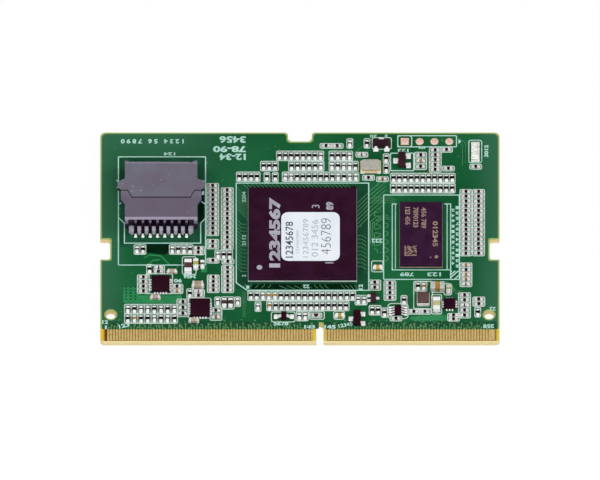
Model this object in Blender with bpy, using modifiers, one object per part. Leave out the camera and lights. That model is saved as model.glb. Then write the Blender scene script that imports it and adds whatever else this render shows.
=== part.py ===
"""A plug-in computer module board, in metres, with +Z up.

The board lies flat on its back face. Places are measured from the middle of its contact edge: X to
the right, Y up the board and Z from its back face, and one empty then puts the origin under the
middle of the outline. Places are drawn in millimetres for the board's real size, and ACROSS and
UP_BOARD spread them when the board's size changes. The 16-lead memory chip sits in a socket with
two hinged covers.
"""

import math

import bmesh
import bpy
from mathutils import Matrix

MM = 0.001
SEAT = 0.02 * MM  # solder or glue film between a piece and what it sits on
SINK = 0.1 * MM  # how far a fused shape reaches into its carrier
ARC_STEPS = 4  # straight steps in a quarter turn of an outline
ROUND_SIDES = 20  # sides of a round hole, pad or cheek
PIN_SIDES = 12
NOSE_SIDES = 8
FLAT_ANGLE = math.radians(0.5)  # faces that meet within it are one face
SMOOTH_ANGLE = math.radians(35)  # faces that meet within it are one curved surface

# Board, and the metres of one drawn millimetre across it and up it
BOARD_WIDTH = 69.6 * MM
BOARD_DEPTH = 43.15 * MM
DRAWN_WIDTH = 69.6
DRAWN_DEPTH = 43.15
ACROSS = BOARD_WIDTH / DRAWN_WIDTH
UP_BOARD = BOARD_DEPTH / DRAWN_DEPTH
BOARD_THICKNESS = 1.2 * MM
BOARD_CORNER_RADIUS = 0.5 * MM
EDGE_CORNER_CUT = 0.55 * MM
EDGE_CHAMFER_LENGTH = 0.3 * MM
EDGE_CHAMFER_DEPTH = 0.25 * MM
SIDE_NOTCH_DEPTH = 1.72 * MM
SIDE_NOTCH_HEIGHT = 4.16 * MM
SIDE_NOTCH_Y = 19.12 * UP_BOARD
SIDE_NOTCH_RADIUS = 0.4 * MM
TOP_NOTCH_WIDTH = 4.16 * MM
TOP_NOTCH_DEPTH = 1.84 * MM
TOP_NOTCH_RADIUS = 0.5 * MM
NOTCH_MOUTH_RADIUS = 0.15 * MM
HOLE_DIAMETER = 1.8 * MM
HOLE_INSET = 1.82 * MM
HOLE_Y = 5.7 * MM

# Edge contacts and the key slot between their two blocks
CONTACT_PITCH = 0.5 * MM
CONTACT_WIDTH = 0.35 * MM
CONTACT_LENGTH = 2.25 * MM
CONTACT_START = 0.4 * MM
CONTACT_PROUD = 0.035 * MM
FIRST_CONTACT_INSET = 1.375 * MM
LAST_CONTACT_INSET = 1.7 * MM
LEFT_BLOCK_SHARE = 0.51
BLOCK_SPACING = 2.5 * MM
LAST_CONTACT_EXTRA = 0.7 * MM
KEY_SLOT_WIDTH = 1.24 * MM
KEY_SLOT_DEPTH = 3.9 * MM
KEY_SLOT_FROM_CONTACT = 1.4 * MM
KEY_SLOT_MOUTH_RADIUS = 0.25 * MM

# Four solder-filled holes of the unfitted pin header
HEADER_PITCH = 2.58 * MM
HEADER_PAD = 1.55 * MM
HEADER_X = 22.17 * ACROSS
HEADER_INSET = 1.85 * MM
HEADER_PADS = 4

# Small two-terminal chips
CHIP_LENGTH = 1.0 * MM
CHIP_WIDTH = 0.5 * MM
CHIP_HEIGHT = 0.42 * MM
CHIP_FILLET = 0.12 * MM
ROW_PITCH = 1.025
COLUMN_PITCH = 0.975

# Rows of chips that stand along Y, side by side: first X, Y, how many, pitch, in millimetres
CHIP_ROWS = (
    # above the processor, top row to bottom row
    (-3.55, 38.25, 8, ROW_PITCH),
    (5.60, 38.25, 4, ROW_PITCH),
    (-6.35, 36.15, 3, ROW_PITCH),
    (-1.45, 36.15, 6, ROW_PITCH),
    (5.60, 36.15, 5, ROW_PITCH),
    (-10.55, 33.95, 4, ROW_PITCH),
    (-5.75, 33.95, 2, 1.45),
    (-2.55, 33.95, 13, ROW_PITCH),
    (8.70, 40.80, 1, ROW_PITCH),
    (11.70, 40.80, 1, ROW_PITCH),
    (15.05, 37.70, 1, ROW_PITCH),
    (15.05, 35.65, 1, ROW_PITCH),
    # above the memory
    (16.30, 33.70, 11, ROW_PITCH),
    (16.30, 31.60, 11, ROW_PITCH),
    # below the processor
    (-8.55, 9.50, 18, 1.044),
    (-7.30, 7.25, 1, ROW_PITCH),
    (-5.27, 7.40, 14, ROW_PITCH),
    (10.15, 8.60, 2, ROW_PITCH),
    (-0.10, 5.30, 2, ROW_PITCH),
    # right of the contact block's middle
    (12.60, 6.50, 2, ROW_PITCH),
    (14.75, 6.00, 1, ROW_PITCH),
    (18.15, 8.55, 1, ROW_PITCH),
    (20.60, 11.40, 2, ROW_PITCH),
    (31.00, 6.10, 1, ROW_PITCH),
    # left of the processor and below the socket
    (-14.30, 17.90, 3, ROW_PITCH),
    (-14.35, 8.35, 2, 3.50),
    (-28.40, 19.00, 2, ROW_PITCH),
    (-22.25, 19.00, 4, ROW_PITCH),
    (-26.20, 14.95, 1, ROW_PITCH),
    (-19.20, 9.95, 1, ROW_PITCH),
    (-30.00, 6.75, 8, 1.157),
    (-30.00, 4.80, 8, 1.157),
)

# Columns of chips that lie along X, stacked: X, top Y, how many, pitch, in millimetres
CHIP_COLUMNS = (
    # top edge
    (4.55, 40.40, 1, COLUMN_PITCH),
    (6.50, 40.40, 1, COLUMN_PITCH),
    (10.80, 38.60, 1, COLUMN_PITCH),
    (11.95, 33.85, 1, COLUMN_PITCH),
    (14.40, 33.55, 1, COLUMN_PITCH),
    (21.05, 38.50, 3, 1.19),
    (23.60, 39.50, 5, 1.00),
    (25.55, 39.60, 1, COLUMN_PITCH),
    (25.90, 35.75, 1, COLUMN_PITCH),
    (30.65, 36.10, 1, COLUMN_PITCH),
    # right of the memory
    (28.95, 30.95, 14, COLUMN_PITCH),
    (31.15, 30.95, 14, COLUMN_PITCH),
    (28.95, 15.85, 5, COLUMN_PITCH),
    # left of the processor
    (-12.67, 31.30, 13, COLUMN_PITCH),
    (-15.20, 32.20, 11, COLUMN_PITCH),
    (-15.20, 20.70, 2, COLUMN_PITCH),
    (-12.55, 16.60, 1, COLUMN_PITCH),
    (-15.15, 16.80, 1, COLUMN_PITCH),
    (-12.60, 15.35, 6, 0.93),
    (-15.10, 13.40, 4, 0.90),
    (-14.65, 6.50, 2, 1.30),
    # along the contact edge
    (2.80, 5.55, 1, COLUMN_PITCH),
    (13.05, 12.30, 2, 1.05),
    (15.70, 12.15, 4, 1.00),
    (16.75, 4.90, 1, COLUMN_PITCH),
    (19.85, 6.30, 1, COLUMN_PITCH),
    (21.80, 6.30, 1, COLUMN_PITCH),
    (28.70, 9.70, 5, 1.04),
    (31.20, 8.85, 2, 0.95),
    (26.80, 5.55, 2, 0.78),
    # round the two power controllers
    (-17.70, 19.30, 2, 0.85),
    (-24.65, 15.40, 2, 0.85),
    (-27.30, 13.40, 4, 0.95),
    (-21.45, 11.50, 2, COLUMN_PITCH),
    (-17.70, 10.45, 2, 0.85),
    (-20.40, 8.30, 3, 1.20),
)

# Processor: a moulded cap on a substrate with rows of solder balls under it
PROCESSOR_X = 0.45 * ACROSS
PROCESSOR_Y = 21.7 * UP_BOARD
PROCESSOR_SUBSTRATE_SIDE = 19.0 * MM
PROCESSOR_SUBSTRATE_THICKNESS = 0.3 * MM
PROCESSOR_CAP_SIDE = 18.9 * MM
PROCESSOR_CAP_THICKNESS = 0.55 * MM
PROCESSOR_BALLS_A_SIDE = 18
PROCESSOR_BALL_PITCH = 1.0 * MM
PIN_ONE_DIAMETER = 1.03 * MM
PIN_ONE_DEPTH = 0.06 * MM
PIN_ONE_INSET_X = 1.95 * MM
PIN_ONE_INSET_Y = 2.45 * MM
BALL_DIAMETER = 0.45 * MM
BALL_HEIGHT = 0.33 * MM
BALL_SIDES = 5
LABEL_WIDTH = 10.2 * MM
LABEL_DEPTH = 10.0 * MM
LABEL_THICKNESS = 0.08 * MM
LABEL_RADIUS = 1.2 * MM
LABEL_OFFSET_X = 1.4 * MM
LABEL_OFFSET_Y = -0.73 * MM

# Memory
MEMORY_X = 21.12 * ACROSS
MEMORY_Y = 21.7 * UP_BOARD
MEMORY_WIDTH = 7.5 * MM
MEMORY_DEPTH = 13.2 * MM
MEMORY_SUBSTRATE_THICKNESS = 0.18 * MM
MEMORY_CAP_THICKNESS = 0.6 * MM
MEMORY_CAP_INSET = 0.05 * MM
MEMORY_BALL_COLUMNS = 9
MEMORY_BALL_ROWS = 16
MEMORY_BALL_PITCH = 0.8 * MM
CAP_EDGE = 0.08 * MM

# Flash socket, from its own middle on the board: U along X, V along Y
SOCKET_X = -24.2 * ACROSS
SOCKET_Y = 29.0 * UP_BOARD
SOCKET_WIDTH = 12.65 * MM
SOCKET_DEPTH = 13.84 * MM
SOCKET_HEIGHT = 3.7 * MM
SOCKET_LEADS = 8
SOCKET_SHOULDER = 1.245 * MM
SLOT_WIDTH = 0.62 * MM
COVER_THICKNESS = 0.8 * MM
HINGE_INSET = 1.62 * MM
HINGE_DROP = 1.5 * MM
COVER_GAP = 0.18 * MM
COVER_CLEARANCE = 0.1 * MM
CHEEK_THICKNESS = 0.6 * MM
CHEEK_RADIUS = 1.45 * MM
HINGE_PIN_RADIUS = 0.3 * MM
HINGE_PIN_CLEARANCE = 0.06 * MM
PIN_ENGAGEMENT = 0.53 * MM
BEARING_RADIUS = 0.62 * MM
BEARING_THICKNESS = 0.66 * MM
BEARING_INSET = 0.06 * MM
LIP_DEGREES = 25
FINGER_DEGREES = 58
FINGER_WIDTH = 0.42 * MM
FINGER_DEPTH = 0.6 * MM
FINGER_STEP = 0.25 * MM
COVER_STEPS = 4
TAB_SHOULDER = 1.275 * MM
TAB_REACH = 1.44 * MM
TAB_SLOPE = 0.75 * MM
REAR_EAR = 1.28 * MM
REAR_EAR_LENGTH = 2.35 * MM
REAR_EAR_EDGE = (0.4 * MM, 1.6 * MM)
REAR_EAR_SLANT = 0.64 * MM
FRONT_EAR = 0.71 * MM
FRONT_EAR_LENGTH = 2.85 * MM
FRONT_EAR_EDGE = 1.8 * MM
LIP_NOTCH_WIDTH = 0.5 * MM
LIP_NOTCH_DEPTH = 0.25 * MM
LIP_NOTCH_INSET = 1.145 * MM
WALL_THICKNESS = 0.9 * MM
CHEEK_CLEARANCE = 0.15 * MM
RIB_HEIGHT = 1.35 * MM
SLOT_LENGTH = 3.12 * MM
SLOT_FLOOR = 0.35 * MM
OPEN_SLOT_LENGTH = 1.22 * MM
SOCKET_CONTACT_WIDTH = 0.4 * MM
SOCKET_CONTACT_THICKNESS = 0.15 * MM
SOCKET_CONTACT_HEIGHT = 0.9 * MM
SOCKET_FOOT_REACH = 0.35 * MM
CONTACT_FOOT_END = 0.5 * MM
CONTACT_RISE = 0.2 * MM
CONTACT_SPRING = 0.7 * MM
CONTACT_TIP = (0.4 * MM, 0.15 * MM)

# Flash chip in the socket
FLASH_SIDE_GAP = 1.225 * MM
FLASH_LEAD_GAP = 1.77 * MM
FLASH_LEAD_REACH = 1.4 * MM
FLASH_THICKNESS = 1.75 * MM
FLASH_STAND_OFF = 0.1 * MM
FLASH_LEAD_WIDTH = 0.42 * MM
FLASH_LEAD_THICKNESS = 0.25 * MM
FLASH_FOOT = 0.75 * MM
MOULD_DRAFT = 0.12 * MM

# Other chips with leads: place in millimetres, body size, lead span and lead section
TRANSISTORS = ((14.20, 40.60, -90), (17.80, 37.25, 0), (9.95, 4.75, 0))
SWITCH_PLACE = (12.80, 9.00)
TRANSLATOR_PLACE = (17.10, 6.35)
TRANSLATOR_LEADS = 4
DIODE_PLACE = (-2.80, 5.20)
TRANSISTOR_BODY = (1.3 * MM, 2.9 * MM, 1.0 * MM)
TRANSISTOR_SPAN = 2.4 * MM
TRANSISTOR_LEAD_PITCH = 1.9 * MM
TRANSISTOR_LEAD = (0.42 * MM, 0.12 * MM, 0.4 * MM)
SWITCH_BODY = (0.95 * MM, 2.0 * MM, 0.7 * MM)
SWITCH_SPAN = 1.8 * MM
TRANSLATOR_BODY = (1.2 * MM, 1.85 * MM, 0.75 * MM)
TRANSLATOR_SPAN = 3.1 * MM
TRANSLATOR_LEAD_PITCH = 0.5 * MM
TRANSLATOR_LEAD = (0.22 * MM, 0.12 * MM, 0.35 * MM)
DIODE_BODY = (0.96 * MM, 1.5 * MM, 0.9 * MM)
DIODE_SPAN = 3.2 * MM
DIODE_LEAD = (0.6 * MM, 0.12 * MM, 0.45 * MM)

# Square packages without leads: X, Y, side, height and terminals a side, in millimetres
LEADLESS_CHIPS = {
    "power_controller_1": (-24.30, 11.75, 3.1, 0.85, 5),
    "power_controller_2": (-17.40, 6.85, 3.4, 0.85, 5),
    "load_switch": (26.10, 7.75, 2.0, 0.70, 3),
}
TERMINAL_PITCH = 0.5 * MM
TERMINAL_WIDTH = 0.25 * MM
TERMINAL_REACH = 0.22 * MM
TERMINAL_HEIGHT = 0.16 * MM

# Crystal, lamp and power inductor
CRYSTAL_X = 12.35 * ACROSS
CRYSTAL_Y = 35.95 * UP_BOARD
CRYSTAL_WIDTH = 3.57 * MM
CRYSTAL_DEPTH = 2.4 * MM
CRYSTAL_BASE_HEIGHT = 0.45 * MM
CRYSTAL_LID_HEIGHT = 0.6 * MM
CRYSTAL_LID_INSET = 0.12 * MM
CRYSTAL_CORNER = 0.4 * MM
LAMP_X = 30.6 * ACROSS
LAMP_Y = 38.95 * UP_BOARD
LAMP_WIDTH = 1.5 * MM
LAMP_LENGTH = 3.8 * MM
LAMP_BASE_HEIGHT = 0.35 * MM
LAMP_LENS_LENGTH = 3.2 * MM
LAMP_LENS_HEIGHT = 0.55 * MM
INDUCTOR_SIZE = (2.2 * MM, 2.4 * MM, 1.25 * MM)
INDUCTOR_X = 21.5 * ACROSS
INDUCTOR_Y = 8.55 * UP_BOARD
FERRITE_SIZE = (1.3 * MM, 2.6 * MM, 0.9 * MM)
FERRITE_X = -19.5 * ACROSS
FERRITE_Y = 15.4 * UP_BOARD
END_CAP_SHARE = 0.22
END_CAP_PROUD = 0.03 * MM

# Larger capacitors: X, Y, length, width, height, long axis, in millimetres
CAPACITORS = (
    (24.00, 11.15, 2.50, 1.50, 1.10, "X"),
    (23.85, 7.55, 2.60, 1.30, 1.00, "Y"),
    (25.90, 10.85, 1.50, 0.80, 0.60, "Y"),
    (6.95, 5.35, 1.60, 0.80, 0.60, "X"),
    (13.60, 15.25, 1.55, 0.80, 0.60, "X"),
    (-18.15, 15.90, 1.90, 0.90, 0.80, "Y"),
    (-17.00, 15.90, 1.50, 0.70, 0.60, "Y"),
    (-17.80, 11.60, 1.90, 1.20, 0.85, "X"),
    (-18.50, 4.35, 1.60, 0.80, 0.70, "X"),
    (-22.30, 14.50, 1.60, 0.80, 0.45, "X"),
    (-25.20, 9.15, 1.60, 0.80, 0.60, "X"),
    (-13.18, 8.00, 1.60, 0.80, 0.60, "Y"),
    (-12.10, 8.00, 1.60, 0.80, 0.60, "Y"),
)

# Sums of the sizes above
BOARD_BACK = CONTACT_PROUD
BOARD_TOP = BOARD_BACK + BOARD_THICKNESS
HALF_WIDTH = BOARD_WIDTH / 2
FIRST_CONTACT_X = FIRST_CONTACT_INSET - HALF_WIDTH
LEFT_CONTACTS = 1 + round(LEFT_BLOCK_SHARE * BOARD_WIDTH / CONTACT_PITCH)
LAST_LEFT_CONTACT_X = FIRST_CONTACT_X + (LEFT_CONTACTS - 1) * CONTACT_PITCH
FIRST_RIGHT_CONTACT_X = LAST_LEFT_CONTACT_X + BLOCK_SPACING
RIGHT_CONTACTS = 1 + int((HALF_WIDTH - LAST_CONTACT_INSET - FIRST_RIGHT_CONTACT_X) / CONTACT_PITCH)
KEY_SLOT_X = LAST_LEFT_CONTACT_X + KEY_SLOT_FROM_CONTACT
HEADER_Y = BOARD_DEPTH - HEADER_INSET
SOCKET_PITCH = (SOCKET_WIDTH - 2 * SOCKET_SHOULDER) / SOCKET_LEADS
RIB_WIDTH = SOCKET_PITCH - SLOT_WIDTH
HINGE_V = SOCKET_DEPTH / 2 - HINGE_INSET
HINGE_W = SOCKET_HEIGHT - HINGE_DROP
CARRIER_HALF = SOCKET_WIDTH / 2 - CHEEK_THICKNESS - COVER_CLEARANCE
PLATE_UNDERSIDE_W = SOCKET_HEIGHT - COVER_THICKNESS
FLASH_W = SOCKET_CONTACT_HEIGHT + SEAT
PEDESTAL_HEIGHT = FLASH_W + FLASH_STAND_OFF - SEAT
END_WALL_LENGTH = 2 * (HINGE_V - CHEEK_RADIUS - CHEEK_CLEARANCE)
SLOT_INNER_V = SOCKET_DEPTH / 2 - SLOT_LENGTH
OPEN_SLOT_V = SOCKET_DEPTH / 2 - OPEN_SLOT_LENGTH
FLASH_WIDTH = SOCKET_WIDTH - 2 * FLASH_SIDE_GAP
FLASH_SPAN = SOCKET_DEPTH - 2 * FLASH_LEAD_GAP
FLASH_DEPTH = FLASH_SPAN - 2 * FLASH_LEAD_REACH


def clear_scene():
    """Remove what the scene starts with."""
    for obj in list(bpy.data.objects):
        bpy.data.objects.remove(obj, do_unlink=True)


def make_collections():
    """The part's collection and the one for its cutting and joining shapes."""
    scene_collection = bpy.context.scene.collection
    part = bpy.data.collections.new("Computer module")
    tools = bpy.data.collections.new("Cutters")
    scene_collection.children.link(part)
    scene_collection.children.link(tools)
    return part, tools


def make_empty(name, location, parent=None):
    """An empty that carries a group of pieces."""
    empty = bpy.data.objects.new(name, None)
    empty.location = location
    empty.parent = parent
    PART.objects.link(empty)
    return empty


def make_material(name, colour, roughness, metallic=0.0):
    """A Principled material with one colour."""
    material = bpy.data.materials.new(name)
    material.use_nodes = True
    shader = material.node_tree.nodes["Principled BSDF"]
    shader.inputs["Base Color"].default_value = (*colour, 1.0)
    shader.inputs["Roughness"].default_value = roughness
    shader.inputs["Metallic"].default_value = metallic
    return material


def new_object(name, mesh, parent, material):
    """A sub-part with its material, when one is given; otherwise a tool that other pieces use."""
    obj = bpy.data.objects.new(name, mesh)
    obj.parent = parent
    if material is None:
        TOOLS.objects.link(obj)
        obj.hide_render = True
        obj.display_type = "WIRE"
        return obj
    PART.objects.link(obj)
    obj.data.materials.append(material)
    return obj


def object_from_bmesh(name, bm, parent, material=None):
    """Closes a bmesh into an object whose faces all point out."""
    bmesh.ops.recalc_face_normals(bm, faces=bm.faces)
    mesh = bpy.data.meshes.new(name)
    bm.to_mesh(mesh)
    bm.free()
    mesh.set_sharp_from_angle(angle=SMOOTH_ANGLE)
    return new_object(name, mesh, parent, material)


def add_box(bm, low, high):
    """A box between two corners; gives its vertices."""
    middle = [(a + b) / 2 for a, b in zip(low, high)]
    size = [b - a for a, b in zip(low, high)]
    matrix = Matrix.Translation(middle) @ Matrix.Diagonal((*size, 1.0))
    return bmesh.ops.create_cube(bm, size=1.0, matrix=matrix)["verts"]


def add_cylinder(bm, middle, radius, length, axis, sides):
    """A cylinder along X, Y or Z about its middle."""
    turn = {
        "X": Matrix.Rotation(math.pi / 2, 4, "Y"),
        "Y": Matrix.Rotation(math.pi / 2, 4, "X"),
        "Z": Matrix.Identity(4),
    }[axis]
    vertices = bmesh.ops.create_cone(
        bm,
        cap_ends=True,
        segments=sides,
        radius1=radius,
        radius2=radius,
        depth=length,
        matrix=Matrix.Translation(middle) @ turn,
    )["verts"]
    for vertex in vertices:
        for face in vertex.link_faces:
            face.smooth = len(face.verts) == 4


def box_object(name, low, high, parent, material=None):
    """One box as an object."""
    bm = bmesh.new()
    add_box(bm, low, high)
    return object_from_bmesh(name, bm, parent, material)


def filleted(corners):
    """The points of a closed outline from corners (x, y, radius), each radius laid in as an arc."""
    points = []
    for index, (x, y, radius) in enumerate(corners):
        before = corners[index - 1]
        after = corners[(index + 1) % len(corners)]
        if radius <= 0:
            points.append((x, y))
            continue
        angle_in = math.atan2(before[1] - y, before[0] - x)
        angle_out = math.atan2(after[1] - y, after[0] - x)
        opening = (angle_out - angle_in + math.pi) % (2 * math.pi) - math.pi
        reach = radius / math.sin(abs(opening) / 2)
        middle = angle_in + opening / 2
        centre = (x + reach * math.cos(middle), y + reach * math.sin(middle))
        sweep = math.pi - abs(opening)
        start = middle + math.pi - math.copysign(sweep / 2, -opening)
        steps = max(2, round(ARC_STEPS * sweep / (math.pi / 2)))
        for step in range(steps + 1):
            angle = start + math.copysign(sweep, -opening) * step / steps
            points.append((centre[0] + radius * math.cos(angle), centre[1] + radius * math.sin(angle)))
    return points


def arc(radius, start_degrees, end_degrees, steps):
    """Points on a circle about the origin."""
    angles = [start_degrees + (end_degrees - start_degrees) * step / steps for step in range(steps + 1)]
    return [(radius * math.cos(math.radians(a)), radius * math.sin(math.radians(a))) for a in angles]


def ribbon(path, thickness):
    """The outline of a bent strip with the given centre line."""
    sides = ([], [])
    for index, (x, y) in enumerate(path):
        before = path[max(index - 1, 0)]
        after = path[min(index + 1, len(path) - 1)]
        along_in = math.atan2(y - before[1], x - before[0]) if index else None
        along_out = math.atan2(after[1] - y, after[0] - x) if index < len(path) - 1 else along_in
        along_in = along_out if along_in is None else along_in
        bend = (along_out - along_in + math.pi) % (2 * math.pi) - math.pi
        normal = along_in + bend / 2 + math.pi / 2
        reach = thickness / 2 / math.cos(bend / 2)
        for side, sign in zip(sides, (1, -1)):
            side.append((x + sign * reach * math.cos(normal), y + sign * reach * math.sin(normal)))
    return sides[0] + sides[1][::-1]


def plate_from_outline(name, outline, low, high, parent, material=None, axis="Z"):
    """An outline made solid between two heights along Z, or a YZ outline between two places along X."""
    curve = bpy.data.curves.new(name, "CURVE")
    curve.dimensions = "2D"
    curve.fill_mode = "BOTH"
    curve.extrude = (high - low) / 2
    spline = curve.splines.new("POLY")
    spline.points.add(len(outline) - 1)
    for point, (x, y) in zip(spline.points, outline):
        point.co = (x, y, 0, 1)
    spline.use_cyclic_u = True
    holder = bpy.data.objects.new(name, curve)
    PART.objects.link(holder)
    graph = bpy.context.evaluated_depsgraph_get()
    mesh = bpy.data.meshes.new_from_object(holder.evaluated_get(graph))
    bpy.data.objects.remove(holder, do_unlink=True)
    bpy.data.curves.remove(curve)
    bm = bmesh.new()
    bm.from_mesh(mesh)
    bpy.data.meshes.remove(mesh)
    bmesh.ops.remove_doubles(bm, verts=bm.verts, dist=SEAT / 100)
    bmesh.ops.dissolve_limit(bm, angle_limit=FLAT_ANGLE, verts=bm.verts, edges=bm.edges)
    bm.normal_update()
    for face in bm.faces:
        face.smooth = any(edge.calc_face_angle(math.pi) < SMOOTH_ANGLE for edge in face.edges)
    place = Matrix.Translation((0, 0, (low + high) / 2))
    if axis == "X":
        place = Matrix.Rotation(math.pi / 2, 4, "Z") @ Matrix.Rotation(math.pi / 2, 4, "X") @ place
    bmesh.ops.transform(bm, matrix=place, verts=bm.verts)
    return object_from_bmesh(name, bm, parent, material)


def boolean(obj, other, operation):
    """Cut another shape from the object, add it or keep what both hold."""
    modifier = obj.modifiers.new(other.name, "BOOLEAN")
    modifier.operation = operation
    modifier.solver = "EXACT"
    modifier.object = other


def repeated(name, tool, offsets, parent):
    """Copies of a tool's shape along X, as one tool that takes its place."""
    bm = bmesh.new()
    for offset in offsets:
        first = len(bm.verts)
        bm.from_mesh(tool.data)
        bm.verts.ensure_lookup_table()
        bmesh.ops.translate(bm, vec=(offset, 0, 0), verts=bm.verts[first:])
    bpy.data.objects.remove(tool, do_unlink=True)
    return object_from_bmesh(name, bm, parent)


def rounded_edges(obj, width, segments=1):
    """A bevel on the sharp edges."""
    modifier = obj.modifiers.new("Edges", "BEVEL")
    modifier.width = width
    modifier.segments = segments
    modifier.limit_method = "ANGLE"
    modifier.angle_limit = math.radians(50)


def chip_places():
    """Where each small chip lies, and its long axis."""
    for x, y, count, pitch in CHIP_ROWS:
        for index in range(count):
            yield (x + index * pitch) * ACROSS, y * UP_BOARD, "Y"
    for x, y, count, pitch in CHIP_COLUMNS:
        for index in range(count):
            yield x * ACROSS, (y - index * pitch) * UP_BOARD, "X"


def add_small_chip(bm, x, y, long_axis):
    """One soldered chip: straight ends above, solder fillets spreading its foot."""
    size = (CHIP_LENGTH, CHIP_WIDTH) if long_axis == "X" else (CHIP_WIDTH, CHIP_LENGTH)
    low = (x - size[0] / 2, y - size[1] / 2, BOARD_TOP - SINK)
    high = (x + size[0] / 2, y + size[1] / 2, BOARD_TOP + CHIP_HEIGHT)
    along = 0 if long_axis == "X" else 1
    middle = (x, y)[along]
    for vertex in add_box(bm, low, high):
        if vertex.co.z < BOARD_TOP:
            vertex.co[along] += math.copysign(CHIP_FILLET, vertex.co[along] - middle)


def contact_bars():
    """Left and right side of each edge contact."""
    for index in range(LEFT_CONTACTS):
        middle = FIRST_CONTACT_X + index * CONTACT_PITCH
        yield middle - CONTACT_WIDTH / 2, middle + CONTACT_WIDTH / 2
    for index in range(RIGHT_CONTACTS):
        middle = FIRST_RIGHT_CONTACT_X + index * CONTACT_PITCH
        extra = LAST_CONTACT_EXTRA if index == RIGHT_CONTACTS - 1 else 0
        yield middle - CONTACT_WIDTH / 2, middle + CONTACT_WIDTH / 2 + extra


def board_outline():
    """The board's outline, anticlockwise from the left end of its contact edge."""
    key_left = KEY_SLOT_X - KEY_SLOT_WIDTH / 2
    key_right = KEY_SLOT_X + KEY_SLOT_WIDTH / 2
    key_radius = KEY_SLOT_WIDTH / 2 - SEAT
    top_half = TOP_NOTCH_WIDTH / 2
    top_floor = BOARD_DEPTH - TOP_NOTCH_DEPTH
    corners = [
        (-HALF_WIDTH + EDGE_CORNER_CUT, 0, 0),
        (key_left, 0, KEY_SLOT_MOUTH_RADIUS),
        (key_left, KEY_SLOT_DEPTH, key_radius),
        (key_right, KEY_SLOT_DEPTH, key_radius),
        (key_right, 0, KEY_SLOT_MOUTH_RADIUS),
        (HALF_WIDTH - EDGE_CORNER_CUT, 0, 0),
        (HALF_WIDTH, EDGE_CORNER_CUT, 0),
        (HALF_WIDTH, BOARD_DEPTH, BOARD_CORNER_RADIUS),
        (top_half, BOARD_DEPTH, NOTCH_MOUTH_RADIUS),
        (top_half, top_floor, TOP_NOTCH_RADIUS),
        (-top_half, top_floor, TOP_NOTCH_RADIUS),
        (-top_half, BOARD_DEPTH, NOTCH_MOUTH_RADIUS),
        (-HALF_WIDTH, BOARD_DEPTH, BOARD_CORNER_RADIUS),
        (-HALF_WIDTH, EDGE_CORNER_CUT, 0),
    ]
    return filleted(corners)


def board_cutters(parent):
    """The two round holes, the side notches and the chamfers of the contact edge."""
    bm = bmesh.new()
    for side in (-1, 1):
        middle = (side * (HALF_WIDTH - HOLE_INSET), HOLE_Y, (BOARD_BACK + BOARD_TOP) / 2)
        add_cylinder(bm, middle, HOLE_DIAMETER / 2, 2 * BOARD_THICKNESS, "Z", ROUND_SIDES)
    yield object_from_bmesh("hole_cutter", bm, parent)
    half_notch = SIDE_NOTCH_HEIGHT / 2
    for name, side in (("left", -1), ("right", 1)):
        corners = [
            (side * x, SIDE_NOTCH_Y + y, radius)
            for x, y, radius in (
                (HALF_WIDTH - SIDE_NOTCH_DEPTH, -half_notch, SIDE_NOTCH_RADIUS),
                (HALF_WIDTH + SIDE_NOTCH_DEPTH, -half_notch, 0),
                (HALF_WIDTH + SIDE_NOTCH_DEPTH, half_notch, 0),
                (HALF_WIDTH - SIDE_NOTCH_DEPTH, half_notch, SIDE_NOTCH_RADIUS),
            )
        ]
        outline = filleted(corners[::side])
        yield plate_from_outline(f"{name}_notch", outline, -BOARD_THICKNESS, 2 * BOARD_THICKNESS, parent)
    for name, face, way in (("top_chamfer", BOARD_TOP, 1), ("back_chamfer", BOARD_BACK, -1)):
        wedge = [
            (-EDGE_CHAMFER_LENGTH, face - 2 * way * EDGE_CHAMFER_DEPTH),
            (2 * EDGE_CHAMFER_LENGTH, face + way * EDGE_CHAMFER_DEPTH),
            (-EDGE_CHAMFER_LENGTH, face + way * EDGE_CHAMFER_DEPTH),
        ]
        yield plate_from_outline(name, wedge, -BOARD_WIDTH, BOARD_WIDTH, parent, axis="X")


def board_fittings(parent):
    """Edge contacts on both faces, the header's pads and every small chip, as one joining shape."""
    bm = bmesh.new()
    contact_end = CONTACT_START + CONTACT_LENGTH
    for left, right in contact_bars():
        low = (left, CONTACT_START, BOARD_BACK - CONTACT_PROUD)
        add_box(bm, low, (right, contact_end, BOARD_TOP + CONTACT_PROUD))
    first_pad = HEADER_X - (HEADER_PADS - 1) * HEADER_PITCH / 2
    half = HEADER_PAD / 2
    low_z = BOARD_BACK - CONTACT_PROUD
    high_z = BOARD_TOP + CONTACT_PROUD
    add_box(bm, (first_pad - half, HEADER_Y - half, low_z), (first_pad + half, HEADER_Y + half, high_z))
    for index in range(1, HEADER_PADS):
        middle = (first_pad + index * HEADER_PITCH, HEADER_Y, (low_z + high_z) / 2)
        add_cylinder(bm, middle, half, high_z - low_z, "Z", ROUND_SIDES)
    for x, y, long_axis in chip_places():
        add_small_chip(bm, x, y, long_axis)
    return object_from_bmesh("board_fittings", bm, parent)


def build_board(parent):
    """The laminate with its contacts and small chips."""
    green = make_material("solder mask", (0.020, 0.115, 0.050), 0.35)
    board = plate_from_outline("board", board_outline(), BOARD_BACK, BOARD_TOP, parent, green)
    for cutter in board_cutters(parent):
        boolean(board, cutter, "DIFFERENCE")
    boolean(board, board_fittings(parent), "UNION")


def ball_ring(bm, x, y, columns, rows, pitch, top):
    """The outer ring of a ball grid, each ball a short drum between the board and the substrate."""
    low = BOARD_TOP + SEAT
    height = top + SINK - low
    for column in range(columns):
        for row in range(rows):
            if 0 < column < columns - 1 and 0 < row < rows - 1:
                continue
            ball_x = x + (column - (columns - 1) / 2) * pitch
            ball_y = y + (row - (rows - 1) / 2) * pitch
            add_cylinder(bm, (ball_x, ball_y, low + height / 2), BALL_DIAMETER / 2, height, "Z", BALL_SIDES)


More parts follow.
